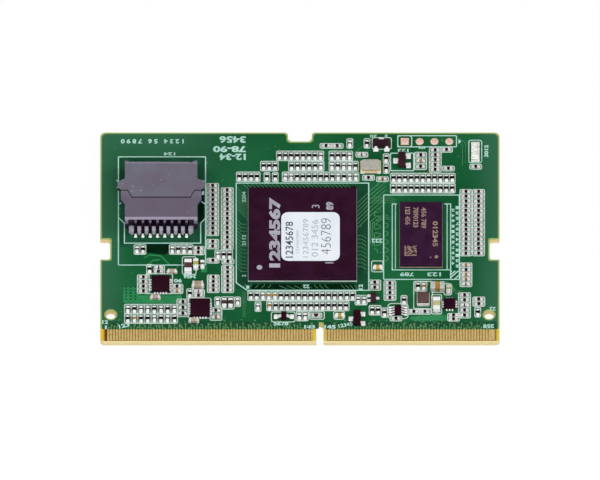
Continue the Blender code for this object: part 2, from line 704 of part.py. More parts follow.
def ball_grid_package(name, x, y, side, substrate, cap, cap_side, balls, parent, materials):
    """A substrate on its balls and the moulded cap on it; gives the cap and the height of its top."""
    bottom = BOARD_TOP + SEAT + BALL_HEIGHT
    top = bottom + substrate
    low = (x - side[0] / 2, y - side[1] / 2, bottom)
    high = (x + side[0] / 2, y + side[1] / 2, top)
    plate = box_object(f"{name}_substrate", low, high, parent, materials[0])
    bm = bmesh.new()
    ball_ring(bm, x, y, *balls, bottom)
    boolean(plate, object_from_bmesh(f"{name}_balls", bm, parent), "UNION")
    low = (x - cap_side[0] / 2, y - cap_side[1] / 2, top + SEAT)
    high = (x + cap_side[0] / 2, y + cap_side[1] / 2, top + SEAT + cap)
    moulding = box_object(f"{name}_cap", low, high, parent, materials[1])
    rounded_edges(moulding, CAP_EDGE)
    return moulding, high[2]


def build_processor(parent):
    """The large square processor and the paper label on it."""
    laminate = make_material("substrate laminate", (0.20, 0.30, 0.16), 0.5)
    moulding = make_material("dark moulding", (0.030, 0.008, 0.022), 0.35)
    paper = make_material("label paper", (0.80, 0.83, 0.86), 0.6)
    side = (PROCESSOR_SUBSTRATE_SIDE, PROCESSOR_SUBSTRATE_SIDE)
    cap_side = (PROCESSOR_CAP_SIDE, PROCESSOR_CAP_SIDE)
    balls = (PROCESSOR_BALLS_A_SIDE, PROCESSOR_BALLS_A_SIDE, PROCESSOR_BALL_PITCH)
    cap, top = ball_grid_package(
        "processor", PROCESSOR_X, PROCESSOR_Y, side, PROCESSOR_SUBSTRATE_THICKNESS,
        PROCESSOR_CAP_THICKNESS, cap_side, balls, parent, (laminate, moulding),
    )
    bm = bmesh.new()
    mark_x = PROCESSOR_X - PROCESSOR_CAP_SIDE / 2 + PIN_ONE_INSET_X
    mark_y = PROCESSOR_Y - PROCESSOR_CAP_SIDE / 2 + PIN_ONE_INSET_Y
    add_cylinder(bm, (mark_x, mark_y, top), PIN_ONE_DIAMETER / 2, 2 * PIN_ONE_DEPTH, "Z", ROUND_SIDES)
    boolean(cap, object_from_bmesh("pin_one_cutter", bm, parent), "DIFFERENCE")
    half_width = LABEL_WIDTH / 2
    half_depth = LABEL_DEPTH / 2
    x = PROCESSOR_X + LABEL_OFFSET_X
    y = PROCESSOR_Y + LABEL_OFFSET_Y
    corners = [
        (x + sx * half_width, y + sy * half_depth, LABEL_RADIUS)
        for sx, sy in ((-1, -1), (1, -1), (1, 1), (-1, 1))
    ]
    low = top + SEAT
    plate_from_outline("processor_label", filleted(corners), low, low + LABEL_THICKNESS, parent, paper)


def build_memory(parent):
    """The memory chip on its ball grid."""
    laminate = make_material("memory laminate", (0.30, 0.22, 0.20), 0.5)
    moulding = make_material("memory moulding", (0.035, 0.012, 0.035), 0.35)
    cap_side = (MEMORY_WIDTH - 2 * MEMORY_CAP_INSET, MEMORY_DEPTH - 2 * MEMORY_CAP_INSET)
    balls = (MEMORY_BALL_COLUMNS, MEMORY_BALL_ROWS, MEMORY_BALL_PITCH)
    ball_grid_package(
        "memory", MEMORY_X, MEMORY_Y, (MEMORY_WIDTH, MEMORY_DEPTH), MEMORY_SUBSTRATE_THICKNESS,
        MEMORY_CAP_THICKNESS, cap_side, balls, parent, (laminate, moulding),
    )


def channel_places():
    """U of each contact channel, left to right."""
    return [(index - (SOCKET_LEADS - 1) / 2) * SOCKET_PITCH for index in range(SOCKET_LEADS)]


def rib_places():
    """U of each rib between and beside the channels."""
    return [(index - SOCKET_LEADS / 2) * SOCKET_PITCH for index in range(SOCKET_LEADS + 1)]


def socket_bearings(parent):
    """The four round-topped bearing posts that hold the covers' pins."""
    centre_u = CARRIER_HALF - BEARING_INSET - BEARING_THICKNESS / 2
    for name, v in (("front", -HINGE_V), ("rear", HINGE_V)):
        profile = [(v + y, HINGE_W + z) for y, z in arc(BEARING_RADIUS, 0, 180, 2 * ARC_STEPS)]
        foot_w = PEDESTAL_HEIGHT - SINK
        profile += [(v - BEARING_RADIUS, foot_w), (v + BEARING_RADIUS, foot_w)]
        half = BEARING_THICKNESS / 2
        post = plate_from_outline(f"{name}_bearing", profile, -half, half, parent, axis="X")
        yield repeated(f"{name}_bearings", post, (-centre_u, centre_u), parent)


def build_socket_base(parent, material):
    """The socket's body: end walls, ribbed contact carriers, bearings and the chip's pedestal."""
    carrier_edge = SOCKET_DEPTH / 2 - RIB_WIDTH / 2
    low = (-CARRIER_HALF, -carrier_edge, SEAT)
    base = box_object("socket_base", low, (CARRIER_HALF, carrier_edge, RIB_HEIGHT), parent, material)
    wall_top = PLATE_UNDERSIDE_W - COVER_CLEARANCE
    low = (-SOCKET_WIDTH / 2, -END_WALL_LENGTH / 2, SEAT)
    walls = box_object("socket_walls", low, (SOCKET_WIDTH / 2, END_WALL_LENGTH / 2, wall_top), parent)
    boolean(base, walls, "UNION")
    bm = bmesh.new()
    for u in rib_places():
        for side in (-1, 1):
            middle = (u, side * carrier_edge, (SEAT + RIB_HEIGHT) / 2)
            add_cylinder(bm, middle, RIB_WIDTH / 2 - SEAT, RIB_HEIGHT - SEAT, "Z", NOSE_SIDES)
    boolean(base, object_from_bmesh("socket_rib_noses", bm, parent), "UNION")
    inner_half = SOCKET_WIDTH / 2 - WALL_THICKNESS
    cavity_v = carrier_edge - RIB_WIDTH
    low = (-inner_half, -cavity_v, PEDESTAL_HEIGHT)
    cavity = box_object("socket_cavity", low, (inner_half, cavity_v, 2 * SOCKET_HEIGHT), parent)
    boolean(base, cavity, "DIFFERENCE")
    for posts in socket_bearings(parent):
        boolean(base, posts, "UNION")
    bm = bmesh.new()
    for side in (-1, 1):
        middle = (0, side * HINGE_V, HINGE_W)
        radius = HINGE_PIN_RADIUS + HINGE_PIN_CLEARANCE
        add_cylinder(bm, middle, radius, 2 * SOCKET_WIDTH, "X", PIN_SIDES)
    boolean(base, object_from_bmesh("socket_pin_holes", bm, parent), "DIFFERENCE")
    half_slot = (SOCKET_PITCH - RIB_WIDTH) / 2
    for name, inner_v, low_w in (("upper", SLOT_INNER_V, SLOT_FLOOR), ("lower", OPEN_SLOT_V, -SLOT_FLOOR)):
        high_w = RIB_HEIGHT + SLOT_FLOOR if name == "upper" else SLOT_FLOOR + SINK
        bm = bmesh.new()
        for u in channel_places():
            for side in (-1, 1):
                v_range = sorted((side * inner_v, side * SOCKET_DEPTH))
                add_box(bm, (u - half_slot, v_range[0], low_w), (u + half_slot, v_range[1], high_w))
        boolean(base, object_from_bmesh(f"socket_{name}_slots", bm, parent), "DIFFERENCE")


def cover_outline(rear):
    """A cover seen from above, in U and the distance from its hinge towards the other cover."""
    half = SOCKET_WIDTH / 2
    seam = HINGE_V - COVER_GAP / 2
    outer = -2 * HINGE_DROP
    tab_half = SOCKET_WIDTH / 2 - TAB_SHOULDER
    if rear:
        ear = [
            (half, seam - REAR_EAR_LENGTH),
            (half + REAR_EAR, seam - REAR_EAR_EDGE[1]),
            (half + REAR_EAR, seam - REAR_EAR_EDGE[0]),
            (half + REAR_EAR - REAR_EAR_SLANT, seam),
        ]
        tab = [(tab_half + TAB_SLOPE, seam), (tab_half, seam + TAB_REACH)]
        lip_edge = -HINGE_DROP * math.sin(math.radians(LIP_DEGREES))
        notch_u = SOCKET_WIDTH / 2 - LIP_NOTCH_INSET
        notch = [
            (notch_u - LIP_NOTCH_WIDTH / 2, outer),
            (notch_u - LIP_NOTCH_WIDTH / 2, lip_edge),
            (notch_u, lip_edge + LIP_NOTCH_DEPTH),
            (notch_u + LIP_NOTCH_WIDTH / 2, lip_edge),
            (notch_u + LIP_NOTCH_WIDTH / 2, outer),
        ]
    else:
        ear = [
            (half, seam - FRONT_EAR_LENGTH),
            (half + FRONT_EAR, seam - FRONT_EAR_EDGE),
            (half + FRONT_EAR, seam),
        ]
        tab = [(tab_half + TAB_SLOPE + COVER_GAP / 2, seam), (tab_half + COVER_GAP / 2, seam - TAB_REACH)]
        notch = []
    right = [(half, outer), *ear, *tab]
    return notch + right + [(-u, v) for u, v in reversed(right)]


def build_cover(name, rear, parent, material):
    """A hinged cover about its hinge axis: plate with rounded lip, cheeks, pins and press fingers."""
    side = 1 if rear else -1
    hinge = make_empty(f"{name}_hinge", (0, side * HINGE_V, HINGE_W), parent)
    inner_radius = HINGE_DROP - COVER_THICKNESS
    reach = HINGE_V + 2 * TAB_REACH
    profile = [(reach, HINGE_DROP)]
    profile += arc(HINGE_DROP, 90, 90 + LIP_DEGREES, COVER_STEPS)
    profile += arc(inner_radius, 90 + LIP_DEGREES, 90, COVER_STEPS)
    profile += [(reach, inner_radius)]
    profile = [(-side * v, w) for v, w in profile]
    cover = plate_from_outline(name, profile, -SOCKET_WIDTH, SOCKET_WIDTH, hinge, material, axis="X")
    outline = [(u, -side * v) for u, v in cover_outline(rear)]
    keep = plate_from_outline(f"{name}_outline", outline, -2 * HINGE_DROP, 2 * HINGE_DROP, hinge)
    boolean(cover, keep, "INTERSECT")
    bm = bmesh.new()
    cheek_inner = SOCKET_WIDTH / 2 - CHEEK_THICKNESS
    for u_side in (-1, 1):
        middle = u_side * (cheek_inner + CHEEK_THICKNESS / 2)
        add_cylinder(bm, (middle, 0, 0), CHEEK_RADIUS, CHEEK_THICKNESS, "X", ROUND_SIDES)
    boolean(cover, object_from_bmesh(f"{name}_cheeks", bm, hinge), "UNION")
    bm = bmesh.new()
    pin_length = CHEEK_THICKNESS / 2 + COVER_CLEARANCE + PIN_ENGAGEMENT
    for u_side in (-1, 1):
        middle = u_side * (cheek_inner + CHEEK_THICKNESS / 2 - pin_length / 2)
        add_cylinder(bm, (middle, 0, 0), HINGE_PIN_RADIUS, pin_length, "X", PIN_SIDES)
    boolean(cover, object_from_bmesh(f"{name}_pins", bm, hinge), "UNION")
    outer_radius = HINGE_DROP - FINGER_STEP
    finger = arc(outer_radius, 90 + LIP_DEGREES / 2, 90 + FINGER_DEGREES, COVER_STEPS)
    finger += arc(outer_radius - FINGER_DEPTH, 90 + FINGER_DEGREES, 90 + LIP_DEGREES / 2, COVER_STEPS)
    finger = [(-side * v, w) for v, w in finger]
    half = FINGER_WIDTH / 2
    tool = plate_from_outline(f"{name}_finger", finger, -half, half, hinge, axis="X")
    boolean(cover, repeated(f"{name}_fingers", tool, channel_places(), hinge), "UNION")


def build_socket_contacts(parent, material):
    """Sixteen bent contacts, each from its solder foot up to the chip's lead."""
    half = SOCKET_CONTACT_THICKNESS / 2
    foot_w = SEAT + half
    top_w = SOCKET_CONTACT_HEIGHT - half
    foot_v = SOCKET_DEPTH / 2 + SOCKET_FOOT_REACH
    touch_v = FLASH_SPAN / 2 - FLASH_FOOT / 2
    path = [
        (foot_v, foot_w),
        (OPEN_SLOT_V + CONTACT_FOOT_END, foot_w),
        (OPEN_SLOT_V + CONTACT_FOOT_END - CONTACT_RISE, SLOT_FLOOR + SOCKET_CONTACT_THICKNESS),
        (touch_v + CONTACT_SPRING, SLOT_FLOOR + CONTACT_RISE),
        (touch_v, top_w),
        (touch_v - CONTACT_TIP[0], top_w - CONTACT_TIP[1]),
    ]
    outline = ribbon(path, SOCKET_CONTACT_THICKNESS)
    number = 0
    for side in (-1, 1):
        for u in channel_places():
            number += 1
            points = [(side * v, w) for v, w in outline]
            low = u - SOCKET_CONTACT_WIDTH / 2
            high = u + SOCKET_CONTACT_WIDTH / 2
            plate_from_outline(f"socket_contact_{number:02d}", points, low, high, parent, material, axis="X")


def moulded_body(name, size, bottom, parent, material):
    """A moulded chip body whose sides draw in from its parting line, about the middle of its foot."""
    bm = bmesh.new()
    low = (-size[0] / 2, -size[1] / 2, bottom)
    add_box(bm, low, (size[0] / 2, size[1] / 2, bottom + size[2]))
    parting = bottom + size[2] / 2
    geometry = bm.verts[:] + bm.edges[:] + bm.faces[:]
    bmesh.ops.bisect_plane(bm, geom=geometry, plane_co=(0, 0, parting), plane_no=(0, 0, 1))
    for vertex in bm.verts:
        if abs(vertex.co.z - parting) > size[2] / 4:
            for axis in (0, 1):
                vertex.co[axis] -= math.copysign(MOULD_DRAFT, vertex.co[axis])
    return object_from_bmesh(name, bm, parent, material)


def leaded_package(name, size, stand_off, span, lead, sides, parent, material):
    """A moulded chip on gull-wing leads. lead is (width, thickness, foot length), sides gives the
    places of the leads along Y on the low and on the high side of X."""
    body = moulded_body(name, size, SEAT + stand_off, parent, material)
    lead_width, thickness, foot = lead
    shoulder = size[0] / 2 + thickness
    parting = SEAT + stand_off + size[2] / 2
    path = [
        (size[0] / 2 - 1.5 * MOULD_DRAFT, parting),
        (shoulder, parting),
        (span / 2 - foot, SEAT + thickness / 2),
        (span / 2, SEAT + thickness / 2),
    ]
    outline = ribbon(path, thickness)
    turn = Matrix.Rotation(-math.pi / 2, 4, "Z")
    half = lead_width / 2
    for side_name, way, places in zip(("low", "high"), (-1, 1), sides):
        points = [(way * y, z) for y, z in outline]
        tool = plate_from_outline(f"{name}_{side_name}_lead", points, -half, half, parent, axis="X")
        row = repeated(f"{name}_{side_name}_leads", tool, [-place for place in places], parent)
        row.data.transform(turn)
        boolean(body, row, "UNION")


def build_flash_chip(parent, material):
    """The 16-lead chip that the socket holds, its leads towards the two covers' hinges."""
    seat = make_empty("flash_chip_seat", (0, 0, SOCKET_CONTACT_HEIGHT), parent)
    seat.rotation_euler.z = math.pi / 2
    size = (FLASH_DEPTH, FLASH_WIDTH, FLASH_THICKNESS)
    lead = (FLASH_LEAD_WIDTH, FLASH_LEAD_THICKNESS, FLASH_FOOT)
    places = channel_places()
    leaded_package("flash_chip", size, FLASH_STAND_OFF, FLASH_SPAN, lead, (places, places), seat, material)


def build_socket(parent, moulding, metal):
    """The flash socket with its contacts, covers and chip."""
    plastic = make_material("socket plastic", (0.135, 0.115, 0.145), 0.45)
    socket = make_empty("socket", (SOCKET_X, SOCKET_Y, BOARD_TOP), parent)
    build_socket_base(socket, plastic)
    build_cover("socket_front_cover", False, socket, plastic)
    build_cover("socket_rear_cover", True, socket, plastic)
    build_socket_contacts(socket, metal)
    build_flash_chip(socket, moulding)


def chip_seat(name, x, y, parent):
    """The empty on the board that carries one chip, at a drawn place."""
    return make_empty(f"{name}_seat", (x * ACROSS, y * UP_BOARD, BOARD_TOP), parent)


def build_leaded_chips(parent, moulding):
    """Three transistors, a small switch, a level translator and a diode."""
    half = TRANSISTOR_LEAD_PITCH / 2
    for number, (x, y, degrees) in enumerate(TRANSISTORS, 1):
        seat = chip_seat(f"transistor_{number}", x, y, parent)
        seat.rotation_euler.z = math.radians(degrees)
        leaded_package(
            f"transistor_{number}", TRANSISTOR_BODY, SEAT, TRANSISTOR_SPAN, TRANSISTOR_LEAD,
            ([0], [-half, half]), seat, moulding,
        )
    seat = chip_seat("small_switch", *SWITCH_PLACE, parent)
    leaded_package(
        "small_switch", SWITCH_BODY, SEAT, SWITCH_SPAN, TRANSLATOR_LEAD,
        ([-TRANSLATOR_LEAD_PITCH, TRANSLATOR_LEAD_PITCH], [0]), seat, moulding,
    )
    middle = (TRANSLATOR_LEADS - 1) / 2
    places = [(index - middle) * TRANSLATOR_LEAD_PITCH for index in range(TRANSLATOR_LEADS)]
    seat = chip_seat("translator_chip", *TRANSLATOR_PLACE, parent)
    leaded_package(
        "translator_chip", TRANSLATOR_BODY, SEAT, TRANSLATOR_SPAN, TRANSLATOR_LEAD,
        (places, places), seat, moulding,
    )
    seat = chip_seat("diode", *DIODE_PLACE, parent)
    leaded_package("diode", DIODE_BODY, SEAT, DIODE_SPAN, DIODE_LEAD, ([0], [0]), seat, moulding)


def leadless_package(name, x, y, side, height, terminals, parent, material):
    """A square package with its soldered terminals along all four sides."""
    seat = chip_seat(name, x, y, parent)
    half = side / 2
    body = box_object(name, (-half, -half, SEAT), (half, half, SEAT + height), seat, material)
    bm = bmesh.new()
    for index in range(terminals):
        place = (index - (terminals - 1) / 2) * TERMINAL_PITCH
        low, high = place - TERMINAL_WIDTH / 2, place + TERMINAL_WIDTH / 2
        for way in (-1, 1):
            near, far = sorted((way * (half - SINK), way * (half + TERMINAL_REACH)))
            add_box(bm, (low, near, SEAT), (high, far, SEAT + TERMINAL_HEIGHT))
            add_box(bm, (near, low, SEAT), (far, high, SEAT + TERMINAL_HEIGHT))
    boolean(body, object_from_bmesh(f"{name}_terminals", bm, seat), "UNION")


def end_capped_chip(name, x, y, size, long_axis, parent, material):
    """A two-terminal part: its body between two slightly larger metal ends."""
    seat = make_empty(f"{name}_seat", (x, y, BOARD_TOP), parent)
    if long_axis == "X":
        seat.rotation_euler.z = math.pi / 2
    width, length, height = size
    inset = END_CAP_PROUD
    low = (-width / 2 + inset, -length / 2 + SINK, SEAT + inset)
    high = (width / 2 - inset, length / 2 - SINK, SEAT + height - inset)
    body = box_object(name, low, high, seat, material)
    bm = bmesh.new()
    cap = length * END_CAP_SHARE
    for near in (-length / 2, length / 2 - cap):
        add_box(bm, (-width / 2, near, SEAT), (width / 2, near + cap, SEAT + height))
    boolean(body, object_from_bmesh(f"{name}_ends", bm, seat), "UNION")


def build_crystal(parent):
    """The crystal: a ceramic base with cut corners and a metal lid on it."""
    ceramic = make_material("ceramic", (0.55, 0.50, 0.42), 0.5)
    lid_metal = make_material("crystal lid", (0.60, 0.58, 0.52), 0.35, 1.0)
    base_low = BOARD_TOP + SEAT
    lid_low = base_low + CRYSTAL_BASE_HEIGHT + SEAT
    for name, low, height, inset, material in (
        ("crystal_base", base_low, CRYSTAL_BASE_HEIGHT, 0, ceramic),
        ("crystal_lid", lid_low, CRYSTAL_LID_HEIGHT, CRYSTAL_LID_INSET, lid_metal),
    ):
        half_width = CRYSTAL_WIDTH / 2 - inset
        half_depth = CRYSTAL_DEPTH / 2 - inset
        corners = [
            (CRYSTAL_X + sx * half_width, CRYSTAL_Y + sy * half_depth, CRYSTAL_CORNER)
            for sx, sy in ((-1, -1), (1, -1), (1, 1), (-1, 1))
        ]
        plate_from_outline(name, filleted(corners), low, low + height, parent, material)


def build_lamp(parent):
    """The status lamp: a base with end terminals and a lens block."""
    lens = make_material("lamp lens", (0.80, 0.80, 0.74), 0.25)
    seat = make_empty("status_lamp_seat", (LAMP_X, LAMP_Y, BOARD_TOP), parent)
    half_width = LAMP_WIDTH / 2
    half_length = LAMP_LENGTH / 2
    low = (-half_width, -half_length, SEAT)
    lamp = box_object("status_lamp", low, (half_width, half_length, SEAT + LAMP_BASE_HEIGHT), seat, lens)
    low = (-half_width + SEAT, -LAMP_LENS_LENGTH / 2, LAMP_BASE_HEIGHT - SINK)
    high = (half_width - SEAT, LAMP_LENS_LENGTH / 2, SEAT + LAMP_BASE_HEIGHT + LAMP_LENS_HEIGHT)
    boolean(lamp, box_object("status_lamp_lens", low, high, seat), "UNION")


def build_small_parts(parent, moulding):
    """Packages without leads, and the larger two-terminal parts."""
    for name, (x, y, side, height, terminals) in LEADLESS_CHIPS.items():
        leadless_package(name, x, y, side * MM, height * MM, terminals, parent, moulding)
    ferrite = make_material("ferrite", (0.10, 0.035, 0.040), 0.5)
    winding = make_material("inductor body", (0.19, 0.11, 0.13), 0.5)
    ceramic = make_material("capacitor ceramic", (0.40, 0.30, 0.17), 0.5)
    end_capped_chip("power_inductor", INDUCTOR_X, INDUCTOR_Y, INDUCTOR_SIZE, "Y", parent, winding)
    end_capped_chip("ferrite_bead", FERRITE_X, FERRITE_Y, FERRITE_SIZE, "Y", parent, ferrite)
    for number, (x, y, length, width, height, long_axis) in enumerate(CAPACITORS, 1):
        size = (width * MM, length * MM, height * MM)
        place = (x * ACROSS, y * UP_BOARD)
        end_capped_chip(f"capacitor_{number:02d}", *place, size, long_axis, parent, ceramic)


def build():
    """Every piece of the module, under one empty that sets the origin."""
    moulding = make_material("chip moulding", (0.025, 0.006, 0.015), 0.4)
    metal = make_material("tinned contact", (0.75, 0.74, 0.70), 0.3, 1.0)
    module = make_empty("module", (0, -BOARD_DEPTH / 2, 0))
    build_board(module)
    build_processor(module)
    build_memory(module)
    build_socket(module, moulding, metal)
    build_leaded_chips(module, moulding)
    build_crystal(module)
    build_lamp(module)
    build_small_parts(module, moulding)


clear_scene()
PART, TOOLS = make_collections()
build()
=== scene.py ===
"""Looks of the plug-in computer module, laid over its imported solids.

Pieces are made in millimetres from the middle of the contact edge, as in the part's source: X to
the right, Y up the board, and Z up from the top of the solder mask. add_piece moves them into the
frame.
"""

import math
import random

import bmesh
import bpy
from mathutils import Matrix, Vector


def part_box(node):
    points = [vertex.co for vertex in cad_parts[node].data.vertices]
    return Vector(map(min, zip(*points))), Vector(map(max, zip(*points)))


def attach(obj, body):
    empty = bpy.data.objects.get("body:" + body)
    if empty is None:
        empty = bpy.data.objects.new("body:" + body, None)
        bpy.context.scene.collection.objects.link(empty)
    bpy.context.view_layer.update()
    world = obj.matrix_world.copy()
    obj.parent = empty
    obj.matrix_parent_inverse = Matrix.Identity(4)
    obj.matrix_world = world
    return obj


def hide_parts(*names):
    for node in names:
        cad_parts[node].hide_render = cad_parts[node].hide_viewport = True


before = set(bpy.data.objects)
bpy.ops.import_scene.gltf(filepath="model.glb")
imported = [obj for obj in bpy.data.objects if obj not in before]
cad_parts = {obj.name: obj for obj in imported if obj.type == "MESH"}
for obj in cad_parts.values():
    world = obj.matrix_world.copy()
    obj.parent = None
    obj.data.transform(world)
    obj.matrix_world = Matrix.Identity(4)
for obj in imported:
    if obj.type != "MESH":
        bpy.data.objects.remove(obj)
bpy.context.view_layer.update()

MM = 0.001
QUARTER = math.pi / 2
HALF_TURN = math.pi

# Board, repeated from the part's source
BOARD_WIDTH = 69.6
BOARD_DEPTH = 43.15
BOARD_TOP = 1.235
BOARD_THICKNESS = 1.2
HALF_WIDTH = BOARD_WIDTH / 2
BOARD_CORNER_RADIUS = 0.9
EDGE_CORNER_CUT = 0.55
EDGE_CHAMFER_LENGTH = 0.3
EDGE_CHAMFER_DEPTH = 0.25
SIDE_NOTCH_DEPTH = 1.72
SIDE_NOTCH_HEIGHT = 4.16
SIDE_NOTCH_Y = 19.12
TOP_NOTCH_WIDTH = 4.16
TOP_NOTCH_DEPTH = 1.84
NOTCH_RADIUS = 0.45
NOTCH_LIP_RADIUS = 0.1
TOP_NOTCH_RADIUS = 0.75
TOP_NOTCH_LIP_RADIUS = 0.6
HOLE_RADIUS = 0.9
HOLE_X = HALF_WIDTH - 1.82
HOLE_Y = 5.7

# Edge contacts
CONTACT_PITCH = 0.5
CONTACT_WIDTH = 0.35
CONTACT_LENGTH = 2.25
CONTACT_START = 0.4
CONTACT_PROUD = 0.035
FIRST_CONTACT_X = 1.375 - HALF_WIDTH
LEFT_CONTACTS = 72
RIGHT_CONTACTS = 58
FIRST_RIGHT_CONTACT_X = FIRST_CONTACT_X + (LEFT_CONTACTS - 1) * CONTACT_PITCH + 2.5
LAST_CONTACT_EXTRA = 0.7
KEY_SLOT_X = FIRST_CONTACT_X + (LEFT_CONTACTS - 1) * CONTACT_PITCH + 1.4
KEY_SLOT_WIDTH = 1.24
KEY_SLOT_DEPTH = 3.9
KEY_SLOT_LIP_RADIUS = 0.25

# Four solder-filled holes of the unfitted pin header
HEADER_PADS = 4
HEADER_PITCH = 2.58
HEADER_PAD = 1.42
HEADER_X = 22.17
HEADER_Y = BOARD_DEPTH - 1.85

# Chip socket: its middle line, and how far from it the light noses and the tinned toes start; nearer
# the middle the socket is painted dark, as shade under the covers
SOCKET_Y = 29.0
COVER_SEAM_SHIFT = 1.3
NOSE_REACH = 5.85
TOE_REACH = 6.75

# Solder mask, copper under it and print on it
MASK_THICKNESS = 0.02
MASK_RIM = 0.28
MASK_CORNER = 0.1
MASK_SLOT_CORNER = 0.6
MASK_START = 2.72
TRACE_WIDTH = 0.09
TRACE_PROUD = 0.012
TRACE_FOOT = -0.005
TAIL_WIDTH = 0.12
TAIL_REACHES = (0.3, 0.85, 0.5, 1.15)
TAIL_VIA_RADIUS = 0.2
TAIL_PIT_RADIUS = 0.09
TAIL_SPECKS = 260
BOARD_VIAS = 150
MEANDER_WIDTH = 0.13
MEANDER_PITCH = 0.85
MEANDER_BEND = 0.15
COPPER_PROUD = 0.006
COPPER_STRIP_WIDTH = 0.26
PAINTED_SHADOW_PROUD = 0.005
DARKER_MASK_PROUD = 0.003
PRINT_WIDTH = 0.19
PRINT_PROUD = 0.018
PRINT_STEP = 0.0004
MARK_PROUD = 0.012
CELL_PRINT_WIDTH = 0.16
CELL_HALF = 0.98
WIDEST_CELL = 1.3
CELL_STEP = 0.001
CELL_CORNER = 0.22

# Small two-terminal chips: size and pitches, repeated from the part's source
CHIP_LENGTH = 1.0
CHIP_WIDTH = 0.5
CHIP_HEIGHT = 0.42
ROW_PITCH = 1.025
COLUMN_PITCH = 0.975

# Their solder and lands, and how the bodies in rows and in columns differ from that size
SOLDER_REACH = 0.27
LAND_START = 0.3
LAND_END = 0.8
LAND_WIDTH = 0.66
LAND_HEIGHT = 0.012
ROW_BODY = (1.12, 1.0, 1.0, 1.0)
COLUMN_BODY = (0.68, 1.15, 0.85, 1.0)

# Larger parts
LARGE_SOLDER_REACH = 0.2
LEADLESS_PITCH = 0.5
CRYSTAL_CORNER = 0.55
CRYSTAL_FOOT = 0.7

# Rows of chips that stand along Y: first X, Y, how many, pitch, and the bodies' kinds in turn
CHIP_ROWS = (
    # above the processor, top row to bottom row
    (-3.55, 38.25, 8, ROW_PITCH, "dddddddp"),
    (5.60, 38.25, 4, ROW_PITCH, "dddp"),
    (-6.35, 36.15, 3, ROW_PITCH, "d"),
    (-1.45, 36.15, 6, ROW_PITCH, "dddddp"),
    (5.60, 36.15, 5, ROW_PITCH, "pdppd"),
    (-10.55, 33.95, 4, ROW_PITCH, "d"),
    (-5.75, 33.95, 2, 1.45, "d"),
    (-2.55, 33.95, 13, ROW_PITCH, "ppdddddddpdpp"),
    (8.70, 40.80, 1, ROW_PITCH, "p"),
    (11.70, 40.80, 1, ROW_PITCH, "d"),
    (15.05, 37.70, 1, ROW_PITCH, "d"),
    (15.05, 35.65, 1, ROW_PITCH, "d"),
    # above the memory
    (16.30, 33.70, 11, ROW_PITCH, "d"),
    (16.30, 31.60, 11, ROW_PITCH, "d"),
    # below the processor
    (-8.55, 9.50, 18, 1.044, "ddpttddddddddddddd"),
    (-7.30, 7.25, 1, ROW_PITCH, "p"),
    (-5.27, 7.40, 14, ROW_PITCH, "tddddddddddddd"),
    (10.15, 8.60, 2, ROW_PITCH, "p"),
    (-0.10, 5.30, 2, ROW_PITCH, "p"),
    # right of the contact block's middle
    (12.60, 6.50, 2, ROW_PITCH, "d"),
    (14.75, 6.00, 1, ROW_PITCH, "d"),
    (18.15, 8.55, 1, ROW_PITCH, "d"),
    (20.60, 11.40, 2, ROW_PITCH, "dt"),
    (31.00, 6.10, 1, ROW_PITCH, "d"),
    # left of the processor and below the socket
    (-14.30, 17.90, 3, ROW_PITCH, "pdd"),
    (-14.35, 8.35, 2, 3.50, "p"),
    (-28.40, 19.00, 2, ROW_PITCH, "pd"),
    (-22.25, 19.00, 4, ROW_PITCH, "pdpd"),
    (-26.20, 14.95, 1, ROW_PITCH, "d"),
    (-19.20, 9.95, 1, ROW_PITCH, "d"),
    (-30.00, 6.75, 8, 1.157, "pdppdpdp"),
    (-30.00, 4.80, 8, 1.157, "dtddpdpd"),
)

# Columns of chips that lie along X: X, top Y, how many, pitch, and the bodies' kinds in turn
CHIP_COLUMNS = (
    # top edge
    (4.55, 40.40, 1, COLUMN_PITCH, "d"),
    (6.50, 40.40, 1, COLUMN_PITCH, "d"),
    (10.80, 38.60, 1, COLUMN_PITCH, "p"),
    (11.95, 33.85, 1, COLUMN_PITCH, "d"),
    (14.40, 33.55, 1, COLUMN_PITCH, "t"),
    (21.05, 38.50, 3, 1.19, "dtd"),
    (23.60, 39.50, 5, 1.00, "d"),
    (25.55, 39.60, 1, COLUMN_PITCH, "d"),
    (25.90, 35.75, 1, COLUMN_PITCH, "d"),
    (30.65, 36.10, 1, COLUMN_PITCH, "d"),
    # right of the memory
    (28.95, 30.95, 14, COLUMN_PITCH, "d"),
    (31.15, 30.95, 14, COLUMN_PITCH, "d"),
    (28.95, 15.85, 5, COLUMN_PITCH, "tdttp"),
    # left of the processor
    (-12.67, 31.30, 13, COLUMN_PITCH, "d"),
    (-15.20, 32.20, 11, COLUMN_PITCH, "d"),
    (-15.20, 20.70, 2, COLUMN_PITCH, "d"),
    (-12.55, 16.60, 1, COLUMN_PITCH, "d"),
    (-15.15, 16.80, 1, COLUMN_PITCH, "d"),
    (-12.60, 15.35, 6, 0.93, "d"),
    (-15.10, 13.40, 4, 0.90, "d"),
    (-14.65, 6.50, 2, 1.30, "dt"),
    # along the contact edge
    (2.80, 5.55, 1, COLUMN_PITCH, "b"),
    (13.05, 12.30, 2, 1.05, "d"),
    (15.70, 12.15, 4, 1.00, "d"),
    (16.75, 4.90, 1, COLUMN_PITCH, "d"),
    (19.85, 6.30, 1, COLUMN_PITCH, "d"),
    (21.80, 6.30, 1, COLUMN_PITCH, "d"),
    (28.70, 9.70, 5, 1.04, "ddpdd"),
    (31.20, 8.85, 2, 0.95, "d"),
    (26.80, 5.55, 2, 0.78, "d"),
    # round the two power controllers
    (-17.70, 19.30, 2, 0.85, "d"),
    (-24.65, 15.40, 2, 0.85, "pd"),
    (-27.30, 13.40, 4, 0.95, "d"),
    (-21.45, 11.50, 2, COLUMN_PITCH, "dt"),
    (-17.70, 10.45, 2, 0.85, "pd"),
    (-20.40, 8.30, 3, 1.20, "d"),
)

